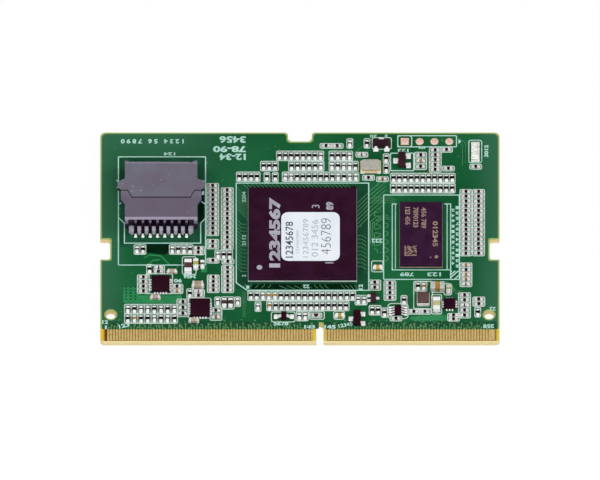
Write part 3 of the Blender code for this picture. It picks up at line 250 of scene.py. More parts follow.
# Outlines round single parts: left, bottom, right, top, corner radius and the corner's steps
PART_OUTLINES = (
    (-26.9, 10.0, -22.2, 14.1, 0.3, 2),
    (-19.5, 5.0, -15.5, 9.1, 0.3, 2),
    (19.85, 6.95, 23.1, 12.55, 0.2, 2),
    (15.35, 4.9, 18.85, 8.0, 0.6, 3),
    (-4.97, 4.2, -0.85, 6.25, 0.3, 2),
    (1.6, 4.75, 4.25, 6.4, 0.3, 2),
    (5.9, 4.75, 7.75, 6.4, 0.3, 2),
    (-20.5, 14.0, -18.1, 17.6, 0.3, 2),
    (12.6, 39.7, 15.95, 42.1, 0.3, 2),
    (12.5, 14.5, 14.5, 16.75, 0.3, 2),
    (-13.8, 6.85, -11.45, 9.35, 0.3, 2),
    (22.95, 5.85, 24.7, 9.8, 0.25, 2),
    (22.9, 10.3, 25.15, 12.4, 0.3, 2),
    (25.1, 9.75, 26.45, 12.1, 0.4, 3),
)

# Plain numbers on the board: the digits, their middle, height, turn, boldness and length
BOARD_DIGITS = (
    ("1 2 3 4   5 6   7 8 9 0", -25.74, 41.35, 0.95, HALF_TURN, 0.035, 10.95),
    ("3456", -11.74, 41.7, 1.4, HALF_TURN, 0.04, 4.6),
    ("78-90", -12.3, 39.75, 1.3, HALF_TURN, 0.04, 5.7),
    ("12-34", -11.74, 38.15, 1.3, HALF_TURN, 0.04, 4.6),
    ("124", -22.75, 38.75, 0.65, HALF_TURN, 0.03, 2.0),
    ("12", -33.95, 4.2, 0.8, 0.0, 0.05, 1.05),
    ("1", -33.83, 3.1, 0.75, 0.0, 0.05, 0.35),
    ("143", 1.7, 3.2, 0.75, 0.0, 0.04, 1.9),
    ("145", 5.25, 3.2, 0.75, 0.0, 0.04, 2.0),
    ("259", 32.9, 3.35, 0.85, HALF_TURN, 0.05, 1.9),
    ("22", 33.6, 6.9, 0.75, HALF_TURN, 0.03, 1.1),
    ("123", 23.4, 14.0, 0.8, HALF_TURN, 0.03, 2.4),
    ("789", 18.65, 14.0, 0.8, HALF_TURN, 0.03, 2.4),
    ("222", 13.45, 20.9, 0.85, HALF_TURN, 0.03, 1.9),
    ("123", -30.67, 3.45, 0.8, 0.25, 0.04, 1.9),
    ("901", -21.5, 12.7, 0.75, HALF_TURN, 0.04, 1.85),
    ("3456", -19.2, 13.55, 0.8, HALF_TURN, 0.04, 2.2),
    ("5678", -3.3, 3.85, 0.75, 0.0, 0.04, 2.6),
    ("3012", 32.5, 39.35, 0.72, QUARTER, 0.05, 2.5),
    ("2204", -9.75, 29.9, 0.65, QUARTER, 0.02, 2.2),
    ("2112", -9.75, 21.0, 0.65, QUARTER, 0.02, 2.2),
    ("2", -9.75, 13.7, 0.65, QUARTER, 0.02, None),
    ("1", -9.1, 11.35, 0.65, HALF_TURN, 0.03, 0.5),
    ("22", 1.1, 11.5, 0.75, HALF_TURN, 0.04, 1.1),
    ("12", 10.6, 11.4, 0.75, QUARTER, 0.04, 1.1),
    ("12345", 7.95, 3.6, 0.75, 0.2, 0.03, 2.5),
    ("123", 18.0, 39.46, 0.7, HALF_TURN, 0.04, 1.9),
    ("456", 21.3, 40.0, 0.5, HALF_TURN, 0.03, 1.3),
    ("30", 12.8, 42.4, 0.6, HALF_TURN, 0.03, 1.2),
    ("0", 15.05, 42.45, 0.6, HALF_TURN, 0.03, 0.5),
)
SIDE_DIGITS = 23
SIDE_DIGIT_PITCH = 0.545

# Bundles of tracks: the first one's start, its bends, the step to the next, how many and how wide
TRACK_BUNDLES = (
    ((-10.8, 31.6), ((1.6, -2.2), (0.4, -0.1)), (0.0, -0.6), 8, 0.12),
    ((-10.9, 25.2), ((0.7, -0.9), (1.0, 0.0)), (0.0, -0.75), 14, 0.12),
    ((-9.9, 32.5), ((1.1, -1.0), (0.0, -0.4)), (0.72, 0.0), 26, 0.12),
    ((10.0, 28.6), ((2.1, 2.4), (2.9, 2.9)), (0.0, -0.85), 7, 0.13),
    ((10.0, 22.0), ((0.8, 0.0), (0.8, -0.6)), (0.0, -0.8), 9, 0.12),
    ((-10.0, 11.2), ((0.5, 0.5), (0.0, 0.3)), (1.1, 0.0), 5, 0.1),
    ((-3.6, 11.7), ((1.1, -0.6), (0.3, 0.0)), (1.3, 0.0), 4, 0.1),
    ((3.2, 11.1), ((-0.6, 0.5), (0.0, 0.4)), (0.9, 0.0), 3, 0.1),
    ((7.2, 11.8), ((0.6, -0.7), (0.0, -0.2)), (0.75, 0.0), 4, 0.1),
    ((-9.9, 5.2), ((0.0, 5.2),), (0.32, 0.0), 2, TRACE_WIDTH),
    ((12.3, 20.2), ((0.0, 4.6), (1.2, 1.2), (2.0, 0.0)), (0.35, -0.35), 3, 0.13),
    ((12.6, 29.9), ((3.4, 0.0), (0.6, -0.6)), (0.0, -0.36), 4, TRACE_WIDTH),
    ((27.6, 42.0), ((1.3, -1.0), (0.0, -4.2)), (-0.55, -0.45), 2, TRACE_WIDTH),
    ((9.4, 38.9), ((1.9, 1.8),), (0.25, -0.2), 1, TRACE_WIDTH),
    ((20.2, 5.0), ((0.8, 0.6), (3.9, 0.0)), (0.0, -0.35), 2, TRACE_WIDTH),
    ((26.5, 10.9), ((0.7, -0.8), (1.3, 0.0)), (0.0, 0.5), 2, TRACE_WIDTH),
)
# Each kind's piece, finish and plated end
CHIP_KINDS = {
    "d": ("resistors", "resistor", 0.25),
    "t": ("tan_capacitors", "tan", 0.28),
    "p": ("long_ended_chips", "gap", 0.4),
    "b": ("short_ended_chips", "chip", 0.08),
}


# Each larger capacitor's finish, the share of its length that one end takes, the ends' finish, and
# how far their solder reaches where that isn't as usual
CAPACITORS = (
    ("tan", 0.33, "land", 0.06),
    ("beige", 0.3, "solder"),
    ("beige", 0.3, "dim_solder"),
    ("yellow", 0.3, "solder"),
    ("amber", 0.3, "solder"),
    ("yellow", 0.3, "solder"),
    ("brown", 0.36, "solder"),
    ("stone", 0.17, "dim_solder"),
    ("stone", 0.2, "dim_solder"),
    ("stone", 0.22, "dim_solder"),
    ("stone", 0.2, "dim_solder"),
    ("ferrite", 0.25, "solder"),
    ("ferrite", 0.25, "solder"),
)

# View and floor: degrees above the board, millimetres across, the middle in the frame; the floor in
# metres each way, and its height in millimetres
VIEW_ELEVATION = 58.0
VIEW_WIDTH = 104.62
VIEW_TARGET = (0.017, -0.515, BOARD_TOP)
FLOOR_REACH = 1.5
FLOOR_HEIGHT = -0.02


# Node building

def add_node(tree, kind, inputs=None, **settings):
    """A node with its settings and input values; a value that is a socket is linked."""
    made = tree.nodes.new(kind)
    for name, value in settings.items():
        setattr(made, name, value)
    for name, value in (inputs or {}).items():
        if isinstance(value, bpy.types.NodeSocket):
            tree.links.new(value, made.inputs[name])
        else:
            made.inputs[name].default_value = value
    return made


def colour(red, green, blue):
    """A colour that is written as it looks on a screen, from 0 to 255."""
    shares = [level / 255 for level in (red, green, blue)]
    return (*(((s + 0.055) / 1.055) ** 2.4 if s > 10 / 255 else s / 12.92 for s in shares), 1.0)


def mixed(tree, factor, first, second):
    """The colour between two, by a factor that is a socket or a number."""
    mix = add_node(tree, "ShaderNodeMix", data_type="RGBA")
    for index, value in ((0, factor), (6, first), (7, second)):
        if isinstance(value, bpy.types.NodeSocket):
            tree.links.new(value, mix.inputs[index])
        else:
            mix.inputs[index].default_value = value
    return mix.outputs[2]


def stepped(tree, value, low, high, to_low=0.0, to_high=1.0):
    """A value ramped from one range to another, smoothly and held at both ends."""
    ramp = add_node(
        tree, "ShaderNodeMapRange",
        {0: value, 1: low, 2: high, 3: to_low, 4: to_high},
        interpolation_type="SMOOTHSTEP",
    )
    return ramp.outputs[0]


def maths(tree, operation, *values):
    """A Math node's result."""
    return add_node(tree, "ShaderNodeMath", dict(enumerate(values)), operation=operation).outputs[0]


def board_axes(tree):
    """X, Y and Z of a point in the frame, in metres from the board's middle and its lowest face."""
    place = add_node(tree, "ShaderNodeTexCoord").outputs["Object"]
    return add_node(tree, "ShaderNodeSeparateXYZ", {0: place}).outputs


def new_group(name, inputs, outputs):
    """A shader node group with its sockets; gives the group, its input node and its output node."""
    group = bpy.data.node_groups.new(name, "ShaderNodeTree")
    for socket, default in inputs.items():
        kind = "NodeSocketColor" if isinstance(default, tuple) else "NodeSocketFloat"
        made = group.interface.new_socket(socket, in_out="INPUT", socket_type=kind)
        made.default_value = default
    for socket, kind in outputs.items():
        group.interface.new_socket(socket, in_out="OUTPUT", socket_type=f"NodeSocket{kind}")
    return group, group.nodes.new("NodeGroupInput"), group.nodes.new("NodeGroupOutput")


def noise(tree, size_mm, detail=2.0, stretch=None):
    """A noise pattern whose blobs are about size_mm across; size_mm may be a socket."""
    place = add_node(tree, "ShaderNodeTexCoord").outputs["Object"]
    if stretch:
        place = add_node(tree, "ShaderNodeMapping", {"Vector": place, "Scale": stretch}).outputs[0]
    scale = maths(tree, "DIVIDE", 1 / MM, size_mm)
    texture = add_node(tree, "ShaderNodeTexNoise", {"Vector": place, "Scale": scale, "Detail": detail})
    return texture.outputs["Fac"]


def fine_surface_group():
    """Two colours in soft patches with a grain over them: moulded plastic, ceramic, resin and ink."""
    group, given, result = new_group(
        "Fine surface",
        {
            "Colour": (0.5, 0.5, 0.5, 1.0), "Patch colour": (0.4, 0.4, 0.4, 1.0), "Patch size": 1.0,
            "Grain size": 0.1, "Grain strength": 0.1, "Roughness": 0.5, "Roughness spread": 0.1,
        },
        {"Colour": "Color", "Roughness": "Float", "Height": "Float"},
    )
    given = given.outputs
    patch = stepped(group, noise(group, given["Patch size"], 3.0), 0.35, 0.65)
    grain = noise(group, given["Grain size"])
    base = mixed(group, patch, given["Colour"], given["Patch colour"])
    offset = maths(group, "SUBTRACT", grain, 0.5)
    shade = maths(group, "MULTIPLY_ADD", offset, given["Grain strength"], 1.0)
    toned = add_node(group, "ShaderNodeHueSaturation", {"Color": base, "Value": shade}).outputs[0]
    rough = maths(group, "MULTIPLY_ADD", offset, given["Roughness spread"], given["Roughness"])
    group.links.new(toned, result.inputs["Colour"])
    group.links.new(rough, result.inputs["Roughness"])
    group.links.new(grain, result.inputs["Height"])
    return group


def grain_group():
    """A grain over a colour that a material mixes for itself, in its shade and its gloss."""
    group, given, result = new_group(
        "Grain",
        {
            "Colour": (0.5, 0.5, 0.5, 1.0), "Size": 0.1, "Detail": 2.0, "Depth": 0.3,
            "Smoothest": 0.4, "Roughest": 0.6,
        },
        {"Colour": "Color", "Roughness": "Float", "Height": "Float"},
    )
    given = given.outputs
    grain = noise(group, given["Size"], given["Detail"])
    offset = maths(group, "SUBTRACT", grain, 0.5)
    shade = maths(group, "MULTIPLY_ADD", offset, given["Depth"], 1.0)
    toned = add_node(group, "ShaderNodeHueSaturation", {"Color": given["Colour"], "Value": shade})
    rough = stepped(group, grain, 0.2, 0.8, given["Smoothest"], given["Roughest"])
    group.links.new(toned.outputs[0], result.inputs["Colour"])
    group.links.new(rough, result.inputs["Roughness"])
    group.links.new(grain, result.inputs["Height"])
    return group


def bright_metal_group():
    """Plating or solder: a clean and a dull colour in patches, with fine lines along Y."""
    group, given, result = new_group(
        "Bright metal",
        {
            "Colour": (0.8, 0.8, 0.8, 1.0), "Dull colour": (0.5, 0.5, 0.5, 1.0), "Patch size": 0.3,
            "Line width": 0.05, "Roughness": 0.3, "Dull roughness": 0.5,
        },
        {"Colour": "Color", "Roughness": "Float", "Height": "Float"},
    )
    given = given.outputs
    patch = stepped(group, noise(group, given["Patch size"], 3.0), 0.4, 0.7)
    lines = noise(group, given["Line width"], 2.0, stretch=(1.0, 0.06, 1.0))
    group.links.new(mixed(group, patch, given["Colour"], given["Dull colour"]), result.inputs["Colour"])
    spread = maths(group, "SUBTRACT", given["Dull roughness"], given["Roughness"])
    rough = maths(group, "MULTIPLY_ADD", patch, spread, given["Roughness"])
    group.links.new(rough, result.inputs["Roughness"])
    group.links.new(lines, result.inputs["Height"])
    return group


def glass_cloth_group():
    """The woven glass inside the laminate, as it shows through resin: a mask of crossing threads."""
    group, given, result = new_group("Glass cloth", {"Thread": 0.45}, {"Mask": "Float"})
    axes = board_axes(group)
    turn = maths(group, "DIVIDE", math.pi / MM, given.outputs["Thread"])
    waves = [maths(group, "SINE", maths(group, "MULTIPLY", axes[index], turn)) for index in (0, 1)]
    crossing = maths(group, "MULTIPLY", *waves)
    group.links.new(maths(group, "MULTIPLY_ADD", crossing, 0.5, 0.5), result.inputs["Mask"])
    return group


def new_material(name, **sockets):
    """A material with its shader's own sockets set; gives the material, its tree and the shader."""
    material = bpy.data.materials.new(name)
    material.use_nodes = True
    tree = material.node_tree
    shader = tree.nodes["Principled BSDF"]
    for socket, value in sockets.items():
        shader.inputs[socket.replace("_", " ")].default_value = value
    return material, tree, shader


def set_bump(tree, shader, height, strength, distance_mm):
    """Relief on the shader's normal."""
    bump = add_node(
        tree, "ShaderNodeBump",
        {"Height": height, "Strength": strength, "Distance": distance_mm * MM},
    )
    tree.links.new(bump.outputs[0], shader.inputs["Normal"])


def lay_effect(tree, shader, effect, values):
    """A shared effect on the shader's colour and roughness; gives its height, for the relief."""
    group = add_node(tree, "ShaderNodeGroup", values, node_tree=effect)
    tree.links.new(group.outputs["Colour"], shader.inputs["Base Color"])
    tree.links.new(group.outputs["Roughness"], shader.inputs["Roughness"])
    return group.outputs["Height"]


def finish(name, effect, values, bump, **sockets):
    """A material from one of the shared effects: its values, relief and the shader's own sockets."""
    material, tree, shader = new_material(name, **sockets)
    set_bump(tree, shader, lay_effect(tree, shader, effect, values), *bump)
    return material


def moulding(name, body, patch, roughness=0.45, specular=0.3, grain=0.08):
    """Moulded epoxy or plastic."""
    values = {
        "Colour": colour(*body), "Patch colour": colour(*patch), "Patch size": 2.5, "Grain size": grain,
        "Grain strength": 0.35, "Roughness": roughness, "Roughness spread": 0.2,
    }
    return finish(name, FINE_SURFACE, values, (0.25, 0.02), Specular_IOR_Level=specular)


def plating(name, clean, dull, roughness, dull_roughness, patch, line, metallic):
    """Bare, tinned or gilt metal; the less metallic, the less of the dim room shows in it."""
    values = {
        "Colour": colour(*clean), "Dull colour": colour(*dull), "Patch size": patch, "Line width": line,
        "Roughness": roughness, "Dull roughness": dull_roughness,
    }
    return finish(name, BRIGHT_METAL, values, (0.15, 0.01), Metallic=metallic)


def mask_material():
    """Green solder mask: darker and lighter drifts, a painted sheen towards the sides and the upper
    left, and the glass cloth faint under it.
    """
    material, tree, shader = new_material("solder_mask", Specular_IOR_Level=0.12)
    drift = stepped(tree, noise(tree, 14.0, 1.0), 0.35, 0.65)
    base = mixed(tree, drift, colour(8, 80, 42), colour(22, 96, 55))
    axes = board_axes(tree)
    across = maths(tree, "ABSOLUTE", axes[0])
    # Lighter teal towards the board's sides and its upper left: a painted sheen, where the mask
    # reflects the lamps.
    side_sheen = stepped(tree, across, (HALF_WIDTH - 6) * MM, HALF_WIDTH * MM, 0.0, 0.7)
    upper = stepped(tree, axes[1], 6 * MM, BOARD_DEPTH / 2 * MM, 0.0, 0.6)
    upper_left_sheen = maths(tree, "MULTIPLY", upper, stepped(tree, axes[0], -4 * MM, -24 * MM))
    base = mixed(tree, maths(tree, "MAXIMUM", side_sheen, upper_left_sheen), base, colour(56, 106, 82))
    cloth = add_node(tree, "ShaderNodeGroup", node_tree=GLASS_CLOTH).outputs["Mask"]
    woven = mixed(tree, maths(tree, "MULTIPLY", cloth, 0.06), base, colour(70, 130, 90))
    lay_effect(tree, shader, GRAIN, {
        "Colour": woven, "Size": 0.25, "Detail": 3.0, "Depth": 0.3, "Smoothest": 0.32, "Roughest": 0.46,
    })
    set_bump(tree, shader, cloth, 0.12, 0.02)
    return material


def laminate_material():
    """Bare laminate: orange darkening to brown beside the first contact, yellow-green at the rim,
    layered cream walls.
    """
    material, tree, shader = new_material("bare_laminate", Roughness=0.55, Specular_IOR_Level=0.2)
    axes = board_axes(tree)
    facing = add_node(tree, "ShaderNodeNewGeometry").outputs["Normal"]
    upward = add_node(tree, "ShaderNodeSeparateXYZ", {0: facing}).outputs[2]
    past_contacts = maths(tree, "GREATER_THAN", axes[1], (MASK_START + 0.3 - BOARD_DEPTH / 2) * MM)
    from_side = maths(tree, "SUBTRACT", HALF_WIDTH * MM, maths(tree, "ABSOLUTE", axes[0]))
    from_slot = maths(tree, "ABSOLUTE", maths(tree, "SUBTRACT", axes[0], KEY_SLOT_X * MM))
    grain = noise(tree, 0.3, 3.0)
    gap = mixed(tree, grain, colour(128, 98, 40), colour(160, 128, 66))
    # Orange at the board's side, darker brown nearer the first contact.
    toward_first_contact = stepped(tree, from_side, 0.55 * MM, 1.0 * MM)
    orange_to_brown = mixed(tree, toward_first_contact, colour(206, 128, 20), colour(74, 38, 6))
    yellow = mixed(tree, grain, colour(206, 176, 36), colour(222, 202, 80))
    rim = mixed(tree, grain, colour(128, 156, 78), colour(160, 182, 106))
    at_first_contact = maths(tree, "LESS_THAN", axes[0], (1.15 - HALF_WIDTH) * MM)
    bare = mixed(tree, at_first_contact, gap, orange_to_brown)
    bare = mixed(tree, stepped(tree, from_side, 0.65 * MM, 0.4 * MM), bare, yellow)
    bare = mixed(tree, maths(tree, "LESS_THAN", from_slot, 1.2 * MM), bare, yellow)
    top = mixed(tree, past_contacts, bare, rim)
    layers = maths(tree, "SINE", maths(tree, "MULTIPLY", axes[2], 2 * math.pi / (0.17 * MM)))
    wall = mixed(tree, stepped(tree, layers, -0.4, 0.9), colour(228, 210, 154), colour(214, 190, 126))
    wall = mixed(tree, maths(tree, "MULTIPLY", grain, 0.5), wall, colour(232, 218, 174))
    whole = mixed(tree, stepped(tree, upward, 0.8, 0.97), wall, top)
    tree.links.new(whole, shader.inputs["Base Color"])
    set_bump(tree, shader, grain, 0.2, 0.02)
    return material


def paper_material():
    """Matt label paper with faint fibres."""
    material, tree, shader = new_material("label_paper", Specular_IOR_Level=0.25)
    fibres = noise(tree, 0.12, 4.0, stretch=(1.0, 0.3, 1.0))
    cloud = stepped(tree, noise(tree, 4.0, 2.0), 0.3, 0.7)
    base = mixed(tree, cloud, colour(226, 233, 242), colour(236, 241, 247))
    shaded = mixed(tree, stepped(tree, fibres, 0.55, 0.8, 0.0, 0.35), base, colour(205, 212, 224))
    tree.links.new(shaded, shader.inputs["Base Color"])
    tree.links.new(stepped(tree, fibres, 0.3, 0.7, 0.5, 0.7), shader.inputs["Roughness"])
    set_bump(tree, shader, fibres, 0.2, 0.01)
    return material


def lens_material():
    """The lamp's cloudy white resin with greenish pits."""
    material, tree, shader = new_material("lamp_lens", Coat_Weight=0.5)
    place = add_node(tree, "ShaderNodeTexCoord").outputs["Object"]
    texture = add_node(
        tree, "ShaderNodeTexVoronoi", {"Vector": place, "Scale": 1 / (0.45 * MM)}, feature="F1"
    )
    cells = texture.outputs["Distance"]
    pits = stepped(tree, cells, 0.45, 0.75)
    base = mixed(tree, pits, colour(250, 248, 240), colour(208, 210, 196))
    tree.links.new(base, shader.inputs["Base Color"])
    tree.links.new(stepped(tree, cells, 0.1, 0.7, 0.15, 0.4), shader.inputs["Roughness"])
    set_bump(tree, shader, cells, 0.3, 0.05)
    return material


def socket_place(tree):
    """Where a point is on the socket: how far from its middle line, its height and its own normal."""
    given = add_node(tree, "ShaderNodeTexCoord").outputs
    axes = add_node(tree, "ShaderNodeSeparateXYZ", {0: given["Object"]}).outputs
    middle = (SOCKET_Y - BOARD_DEPTH / 2) * MM
    from_middle = maths(tree, "ABSOLUTE", maths(tree, "SUBTRACT", axes[1], middle))
    normal = add_node(tree, "ShaderNodeSeparateXYZ", {0: given["Normal"]}).outputs
    return from_middle, maths(tree, "SUBTRACT", axes[2], BOARD_TOP * MM), normal


def plastic_with_painted_shade(name, reach, outside, inside):
    """A finish that is light beyond a distance from the socket's middle line and low down, and painted
    dark elsewhere, as shade under the covers.
    """
    material, tree, shader = new_material(name, Specular_IOR_Level=0.25)
    from_middle, height, _ = socket_place(tree)
    beyond = stepped(tree, from_middle, (reach - 0.05) * MM, (reach + 0.05) * MM)
    low = stepped(tree, height, 1.5 * MM, 1.38 * MM)
    base = mixed(tree, maths(tree, "MULTIPLY", beyond, low), inside, outside)
    grain = lay_effect(tree, shader, GRAIN, {
        "Colour": base, "Size": 0.12, "Depth": 0.3, "Smoothest": 0.4, "Roughest": 0.55,
    })
    set_bump(tree, shader, grain, 0.2, 0.02)
    return material


def cover_material():
    """The socket's covers: mottled grey plastic, a painted highlight at the lip, painted shade under it
    and in the seam.
    """
    material, tree, shader = new_material("socket_cover", Specular_IOR_Level=0.2)
    from_middle, height, normal = socket_place(tree)
    mottle = stepped(tree, noise(tree, 5.5, 2.0), 0.3, 0.72)
    base = mixed(tree, mottle, colour(111, 112, 124), colour(107, 98, 114))
    stain = stepped(tree, noise(tree, 1.3, 3.0), 0.6, 0.8, 0.0, 0.3)
    base = mixed(tree, stain, base, colour(96, 78, 94))
    speck = stepped(tree, noise(tree, 0.5, 1.0), 0.74, 0.78, 0.0, 0.7)
    base = mixed(tree, speck, base, colour(200, 190, 204))
    seam_y = (SOCKET_Y - BOARD_DEPTH / 2 - COVER_SEAM_SHIFT) * MM
    ahead = stepped(tree, board_axes(tree)[1], seam_y + 0.3 * MM, seam_y - 0.3 * MM)
    base = mixed(tree, maths(tree, "MULTIPLY", ahead, 0.6), base, colour(98, 86, 104))
    # A painted highlight along the top of each cover's lip, weaker on the rear cover.
    outermost = stepped(tree, from_middle, 5.42 * MM, 5.52 * MM)
    lip = maths(tree, "MULTIPLY", outermost, stepped(tree, height, 3.35 * MM, 3.5 * MM))
    lip = maths(tree, "MULTIPLY", lip, maths(tree, "MULTIPLY_ADD", ahead, 0.6, 0.4))
    base = mixed(tree, lip, base, colour(154, 146, 164))
    # Painted shade under the lip: the fingers and the covers' lower parts are dark.
    under = stepped(tree, height, 3.1 * MM, 2.9 * MM)
    base = mixed(tree, under, base, colour(34, 18, 42))
    # Painted shade on the covers' upright walls near the middle line, along the seam between the two
    # covers.
    sideways = maths(tree, "LESS_THAN", maths(tree, "ABSOLUTE", normal[0]), 0.85)
    upright = maths(tree, "LESS_THAN", maths(tree, "ABSOLUTE", normal[2]), 0.5)
    inner = maths(tree, "LESS_THAN", from_middle, 5.0 * MM)
    seam = maths(tree, "MULTIPLY", maths(tree, "MULTIPLY", sideways, upright), inner)
    base = mixed(tree, seam, base, colour(22, 14, 28))
    grain = lay_effect(tree, shader, GRAIN, {
        "Colour": base, "Size": 0.1, "Depth": 0.35, "Smoothest": 0.42, "Roughest": 0.58,
    })
    set_bump(tree, shader, grain, 0.25, 0.02)
    return material


def make_materials():
    """Every finish of the module, by name."""
    return {
        "mask": mask_material(),
        "laminate": laminate_material(),
        "paper": paper_material(),
        "lens": lens_material(),
        "gold": plating("contact_gold", (222, 194, 128), (200, 168, 96), 0.45, 0.6, 0.5, 0.04, 0.3),
        # Near-white solder: the solder's tone raised to white, a painted highlight.
        "solder": plating("solder", (255, 255, 254), (236, 236, 238), 0.3, 0.45, 0.3, 0.06, 0.12),
        "tin": plating("tinned_leads", (244, 242, 238), (222, 218, 214), 0.38, 0.5, 0.3, 0.06, 0.3),
        "pad": plating("header_solder", (228, 184, 168), (238, 204, 190), 0.5, 0.6, 0.4, 0.06, 0.1),
        "painted_glint": plating("header_glint", (246, 226, 212), (236, 210, 194), 0.4, 0.5, 0.3, 0.06, 0.1),
        # Dimmer solder: on the column chips' ends it is the same solder in painted shade.
        "dim_solder": plating(
            "dim_solder_finish", (240, 236, 236), (208, 204, 206), 0.42, 0.55, 0.25, 0.06, 0.15
        ),
        "land": plating("tinned_land", (204, 206, 204), (178, 184, 180), 0.45, 0.6, 0.3, 0.06, 0.2),
        "steel": plating("crystal_lid", (196, 194, 182), (178, 176, 166), 0.45, 0.55, 0.8, 0.06, 0.3),
        "gilt": plating("gilt_rim", (246, 214, 152), (236, 198, 130), 0.4, 0.5, 0.4, 0.06, 0.3),
        "processor": moulding("processor_moulding", (40, 8, 30), (48, 14, 40), 0.5, 0.1),
        "memory": moulding("memory_moulding", (46, 16, 46), (54, 26, 52), 0.5, 0.1),
        "controller": moulding("controller_moulding", (44, 6, 26), (34, 4, 20), 0.5, 0.1),
        "chip": moulding("chip_moulding", (62, 30, 42), (46, 20, 30), 0.5, 0.15),
        "resistor": moulding("resistor_body", (16, 6, 8), (26, 10, 14), 0.6, 0.1),
        "tan": moulding("tan_capacitor", (170, 132, 56), (138, 104, 50), 0.5, 0.2, 0.05),
        "beige": moulding("beige_capacitor", (202, 196, 148), (178, 170, 122), 0.5, 0.2, 0.05),
        "amber": moulding("amber_capacitor", (176, 104, 30), (204, 176, 92), 0.5, 0.2, 0.05),
        "gap": moulding("dark_gap", (44, 34, 36), (30, 22, 24), 0.6, 0.1, 0.05),
        "yellow": moulding("yellow_capacitor", (186, 174, 98), (160, 148, 80), 0.5, 0.2, 0.05),
        "brown": moulding("brown_capacitor", (120, 84, 72), (98, 66, 60), 0.5, 0.2, 0.05),
        "stone": moulding("grey_capacitor", (180, 168, 150), (152, 138, 122), 0.5, 0.2, 0.05),
        "ferrite": moulding("ferrite", (92, 48, 58), (70, 34, 44), 0.6, 0.3, 0.06),
        "inductor": moulding("inductor_body", (94, 70, 68), (80, 58, 58), 0.6, 0.15, 0.12),
        "cover": cover_material(),
        # The base: light noses, partly the plastic's own colour and partly a painted highlight, and
        # painted shade further in.
        "base": plastic_with_painted_shade("socket_body", NOSE_REACH, colour(188, 182, 200), colour(30, 16, 38)),
        # The contacts: tinned toes, and painted shade where they run in under the covers.
        "contact": plastic_with_painted_shade(
            "socket_contact", TOE_REACH, colour(240, 238, 234), colour(26, 14, 32)
        ),
        "ceramic": moulding("crystal_ceramic", (252, 234, 206), (242, 220, 186), 0.5, 0.4, 0.06),
        # The packages' substrates are light: partly their own colour, partly a painted highlight on
        # their lit edges.
        "substrate": moulding("package_laminate", (212, 232, 224), (184, 210, 198), 0.5, 0.4, 0.06),
        "memory_base": moulding("memory_laminate", (186, 158, 150), (160, 132, 128), 0.5, 0.4, 0.06),
        "copper": moulding("copper_under_mask", (38, 126, 74), (50, 138, 84), 0.4, 0.15, 0.2),
        "trace": moulding("trace_under_mask", (84, 142, 100), (68, 122, 82), 0.4, 0.12, 0.2),
        "tail": moulding("tail_under_mask", (84, 138, 80), (114, 156, 98), 0.45, 0.15, 0.2),
        "darker_mask": moulding("darker_mask_finish", (20, 70, 46), (28, 82, 56), 0.45, 0.1, 0.3),
        # Near-black green: a painted shadow on the mask.
        "painted_shadow": moulding("painted_shadow_on_mask", (0, 24, 8), (4, 36, 16), 0.5, 0.05, 0.3),
        "pit": moulding("dark_via", (12, 50, 34), (20, 62, 42), 0.5, 0.2, 0.1),
        "cell_fill": moulding("grey_ground", (106, 138, 120), (84, 118, 98), 0.6, 0.15, 0.1),
        "print": moulding("white_print", (184, 224, 212), (166, 210, 198), 0.6, 0.2, 0.08),
        "cell_print": moulding("grey_print", (206, 220, 212), (188, 206, 196), 0.6, 0.2, 0.08),
        "ink": moulding("label_ink", (88, 90, 98), (72, 74, 82), 0.6, 0.2, 0.05),
        "faint_ink": moulding("faint_label_ink", (186, 190, 202), (170, 174, 188), 0.6, 0.2, 0.05),
        "cap_print": moulding("package_print", (176, 174, 186), (160, 156, 170), 0.55, 0.3, 0.06),
        "laser": moulding("laser_mark", (164, 140, 124), (144, 118, 108), 0.6, 0.3, 0.05),
    }


# Shapes

def to_frame(bm):
    """Moves a shape from millimetres on the board into the frame."""
    place = Matrix.Diagonal((MM, MM, MM, 1.0)) @ Matrix.Translation((0, -BOARD_DEPTH / 2, BOARD_TOP))
    bmesh.ops.transform(bm, matrix=place, verts=bm.verts)


def add_piece(name, bm, material, replaces=()):
    """The shape as a piece of the scene that rides on the board; frees the bmesh."""
    to_frame(bm)
    mesh = bpy.data.meshes.new(name)
    bm.to_mesh(mesh)
    bm.free()
    mesh.materials.append(material)
    mesh.shade_smooth()
    mesh.set_sharp_from_angle(angle=math.radians(38))
    piece = bpy.data.objects.new(name, mesh)
    bpy.context.scene.collection.objects.link(piece)
    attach(piece, "module")
    if replaces:
        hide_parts(*replaces)


def node_box(node):
    """Lowest and highest corner of a CAD node, in millimetres on the board."""
    shift = Vector((0, BOARD_DEPTH / 2, -BOARD_TOP))
    low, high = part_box(node)
    return Vector(low) / MM + shift, Vector(high) / MM + shift


def add_block(bm, low, high, bevel=0.0, segments=2):
    """A box with rounded edges."""
    middle = [(a + b) / 2 for a, b in zip(low, high)]
    size = [b - a for a, b in zip(low, high)]
    matrix = Matrix.Translation(middle) @ Matrix.Diagonal((*size, 1.0))
    made = bmesh.ops.create_cube(bm, size=1.0, matrix=matrix)["verts"]
    if bevel:
        edges = {edge for vertex in made for edge in vertex.link_edges}
        bmesh.ops.bevel(
            bm, geom=list(edges), offset=bevel, segments=segments, affect="EDGES", profile=0.5
        )


def add_drum(bm, x, y, low, high, radius, sides=24, top_radius=None):
    """An upright cylinder or cone."""
    middle = Matrix.Translation((x, y, (low + high) / 2))
    bmesh.ops.create_cone(
        bm, cap_ends=True, segments=sides, radius1=radius,
        radius2=radius if top_radius is None else top_radius, depth=high - low, matrix=middle,
    )


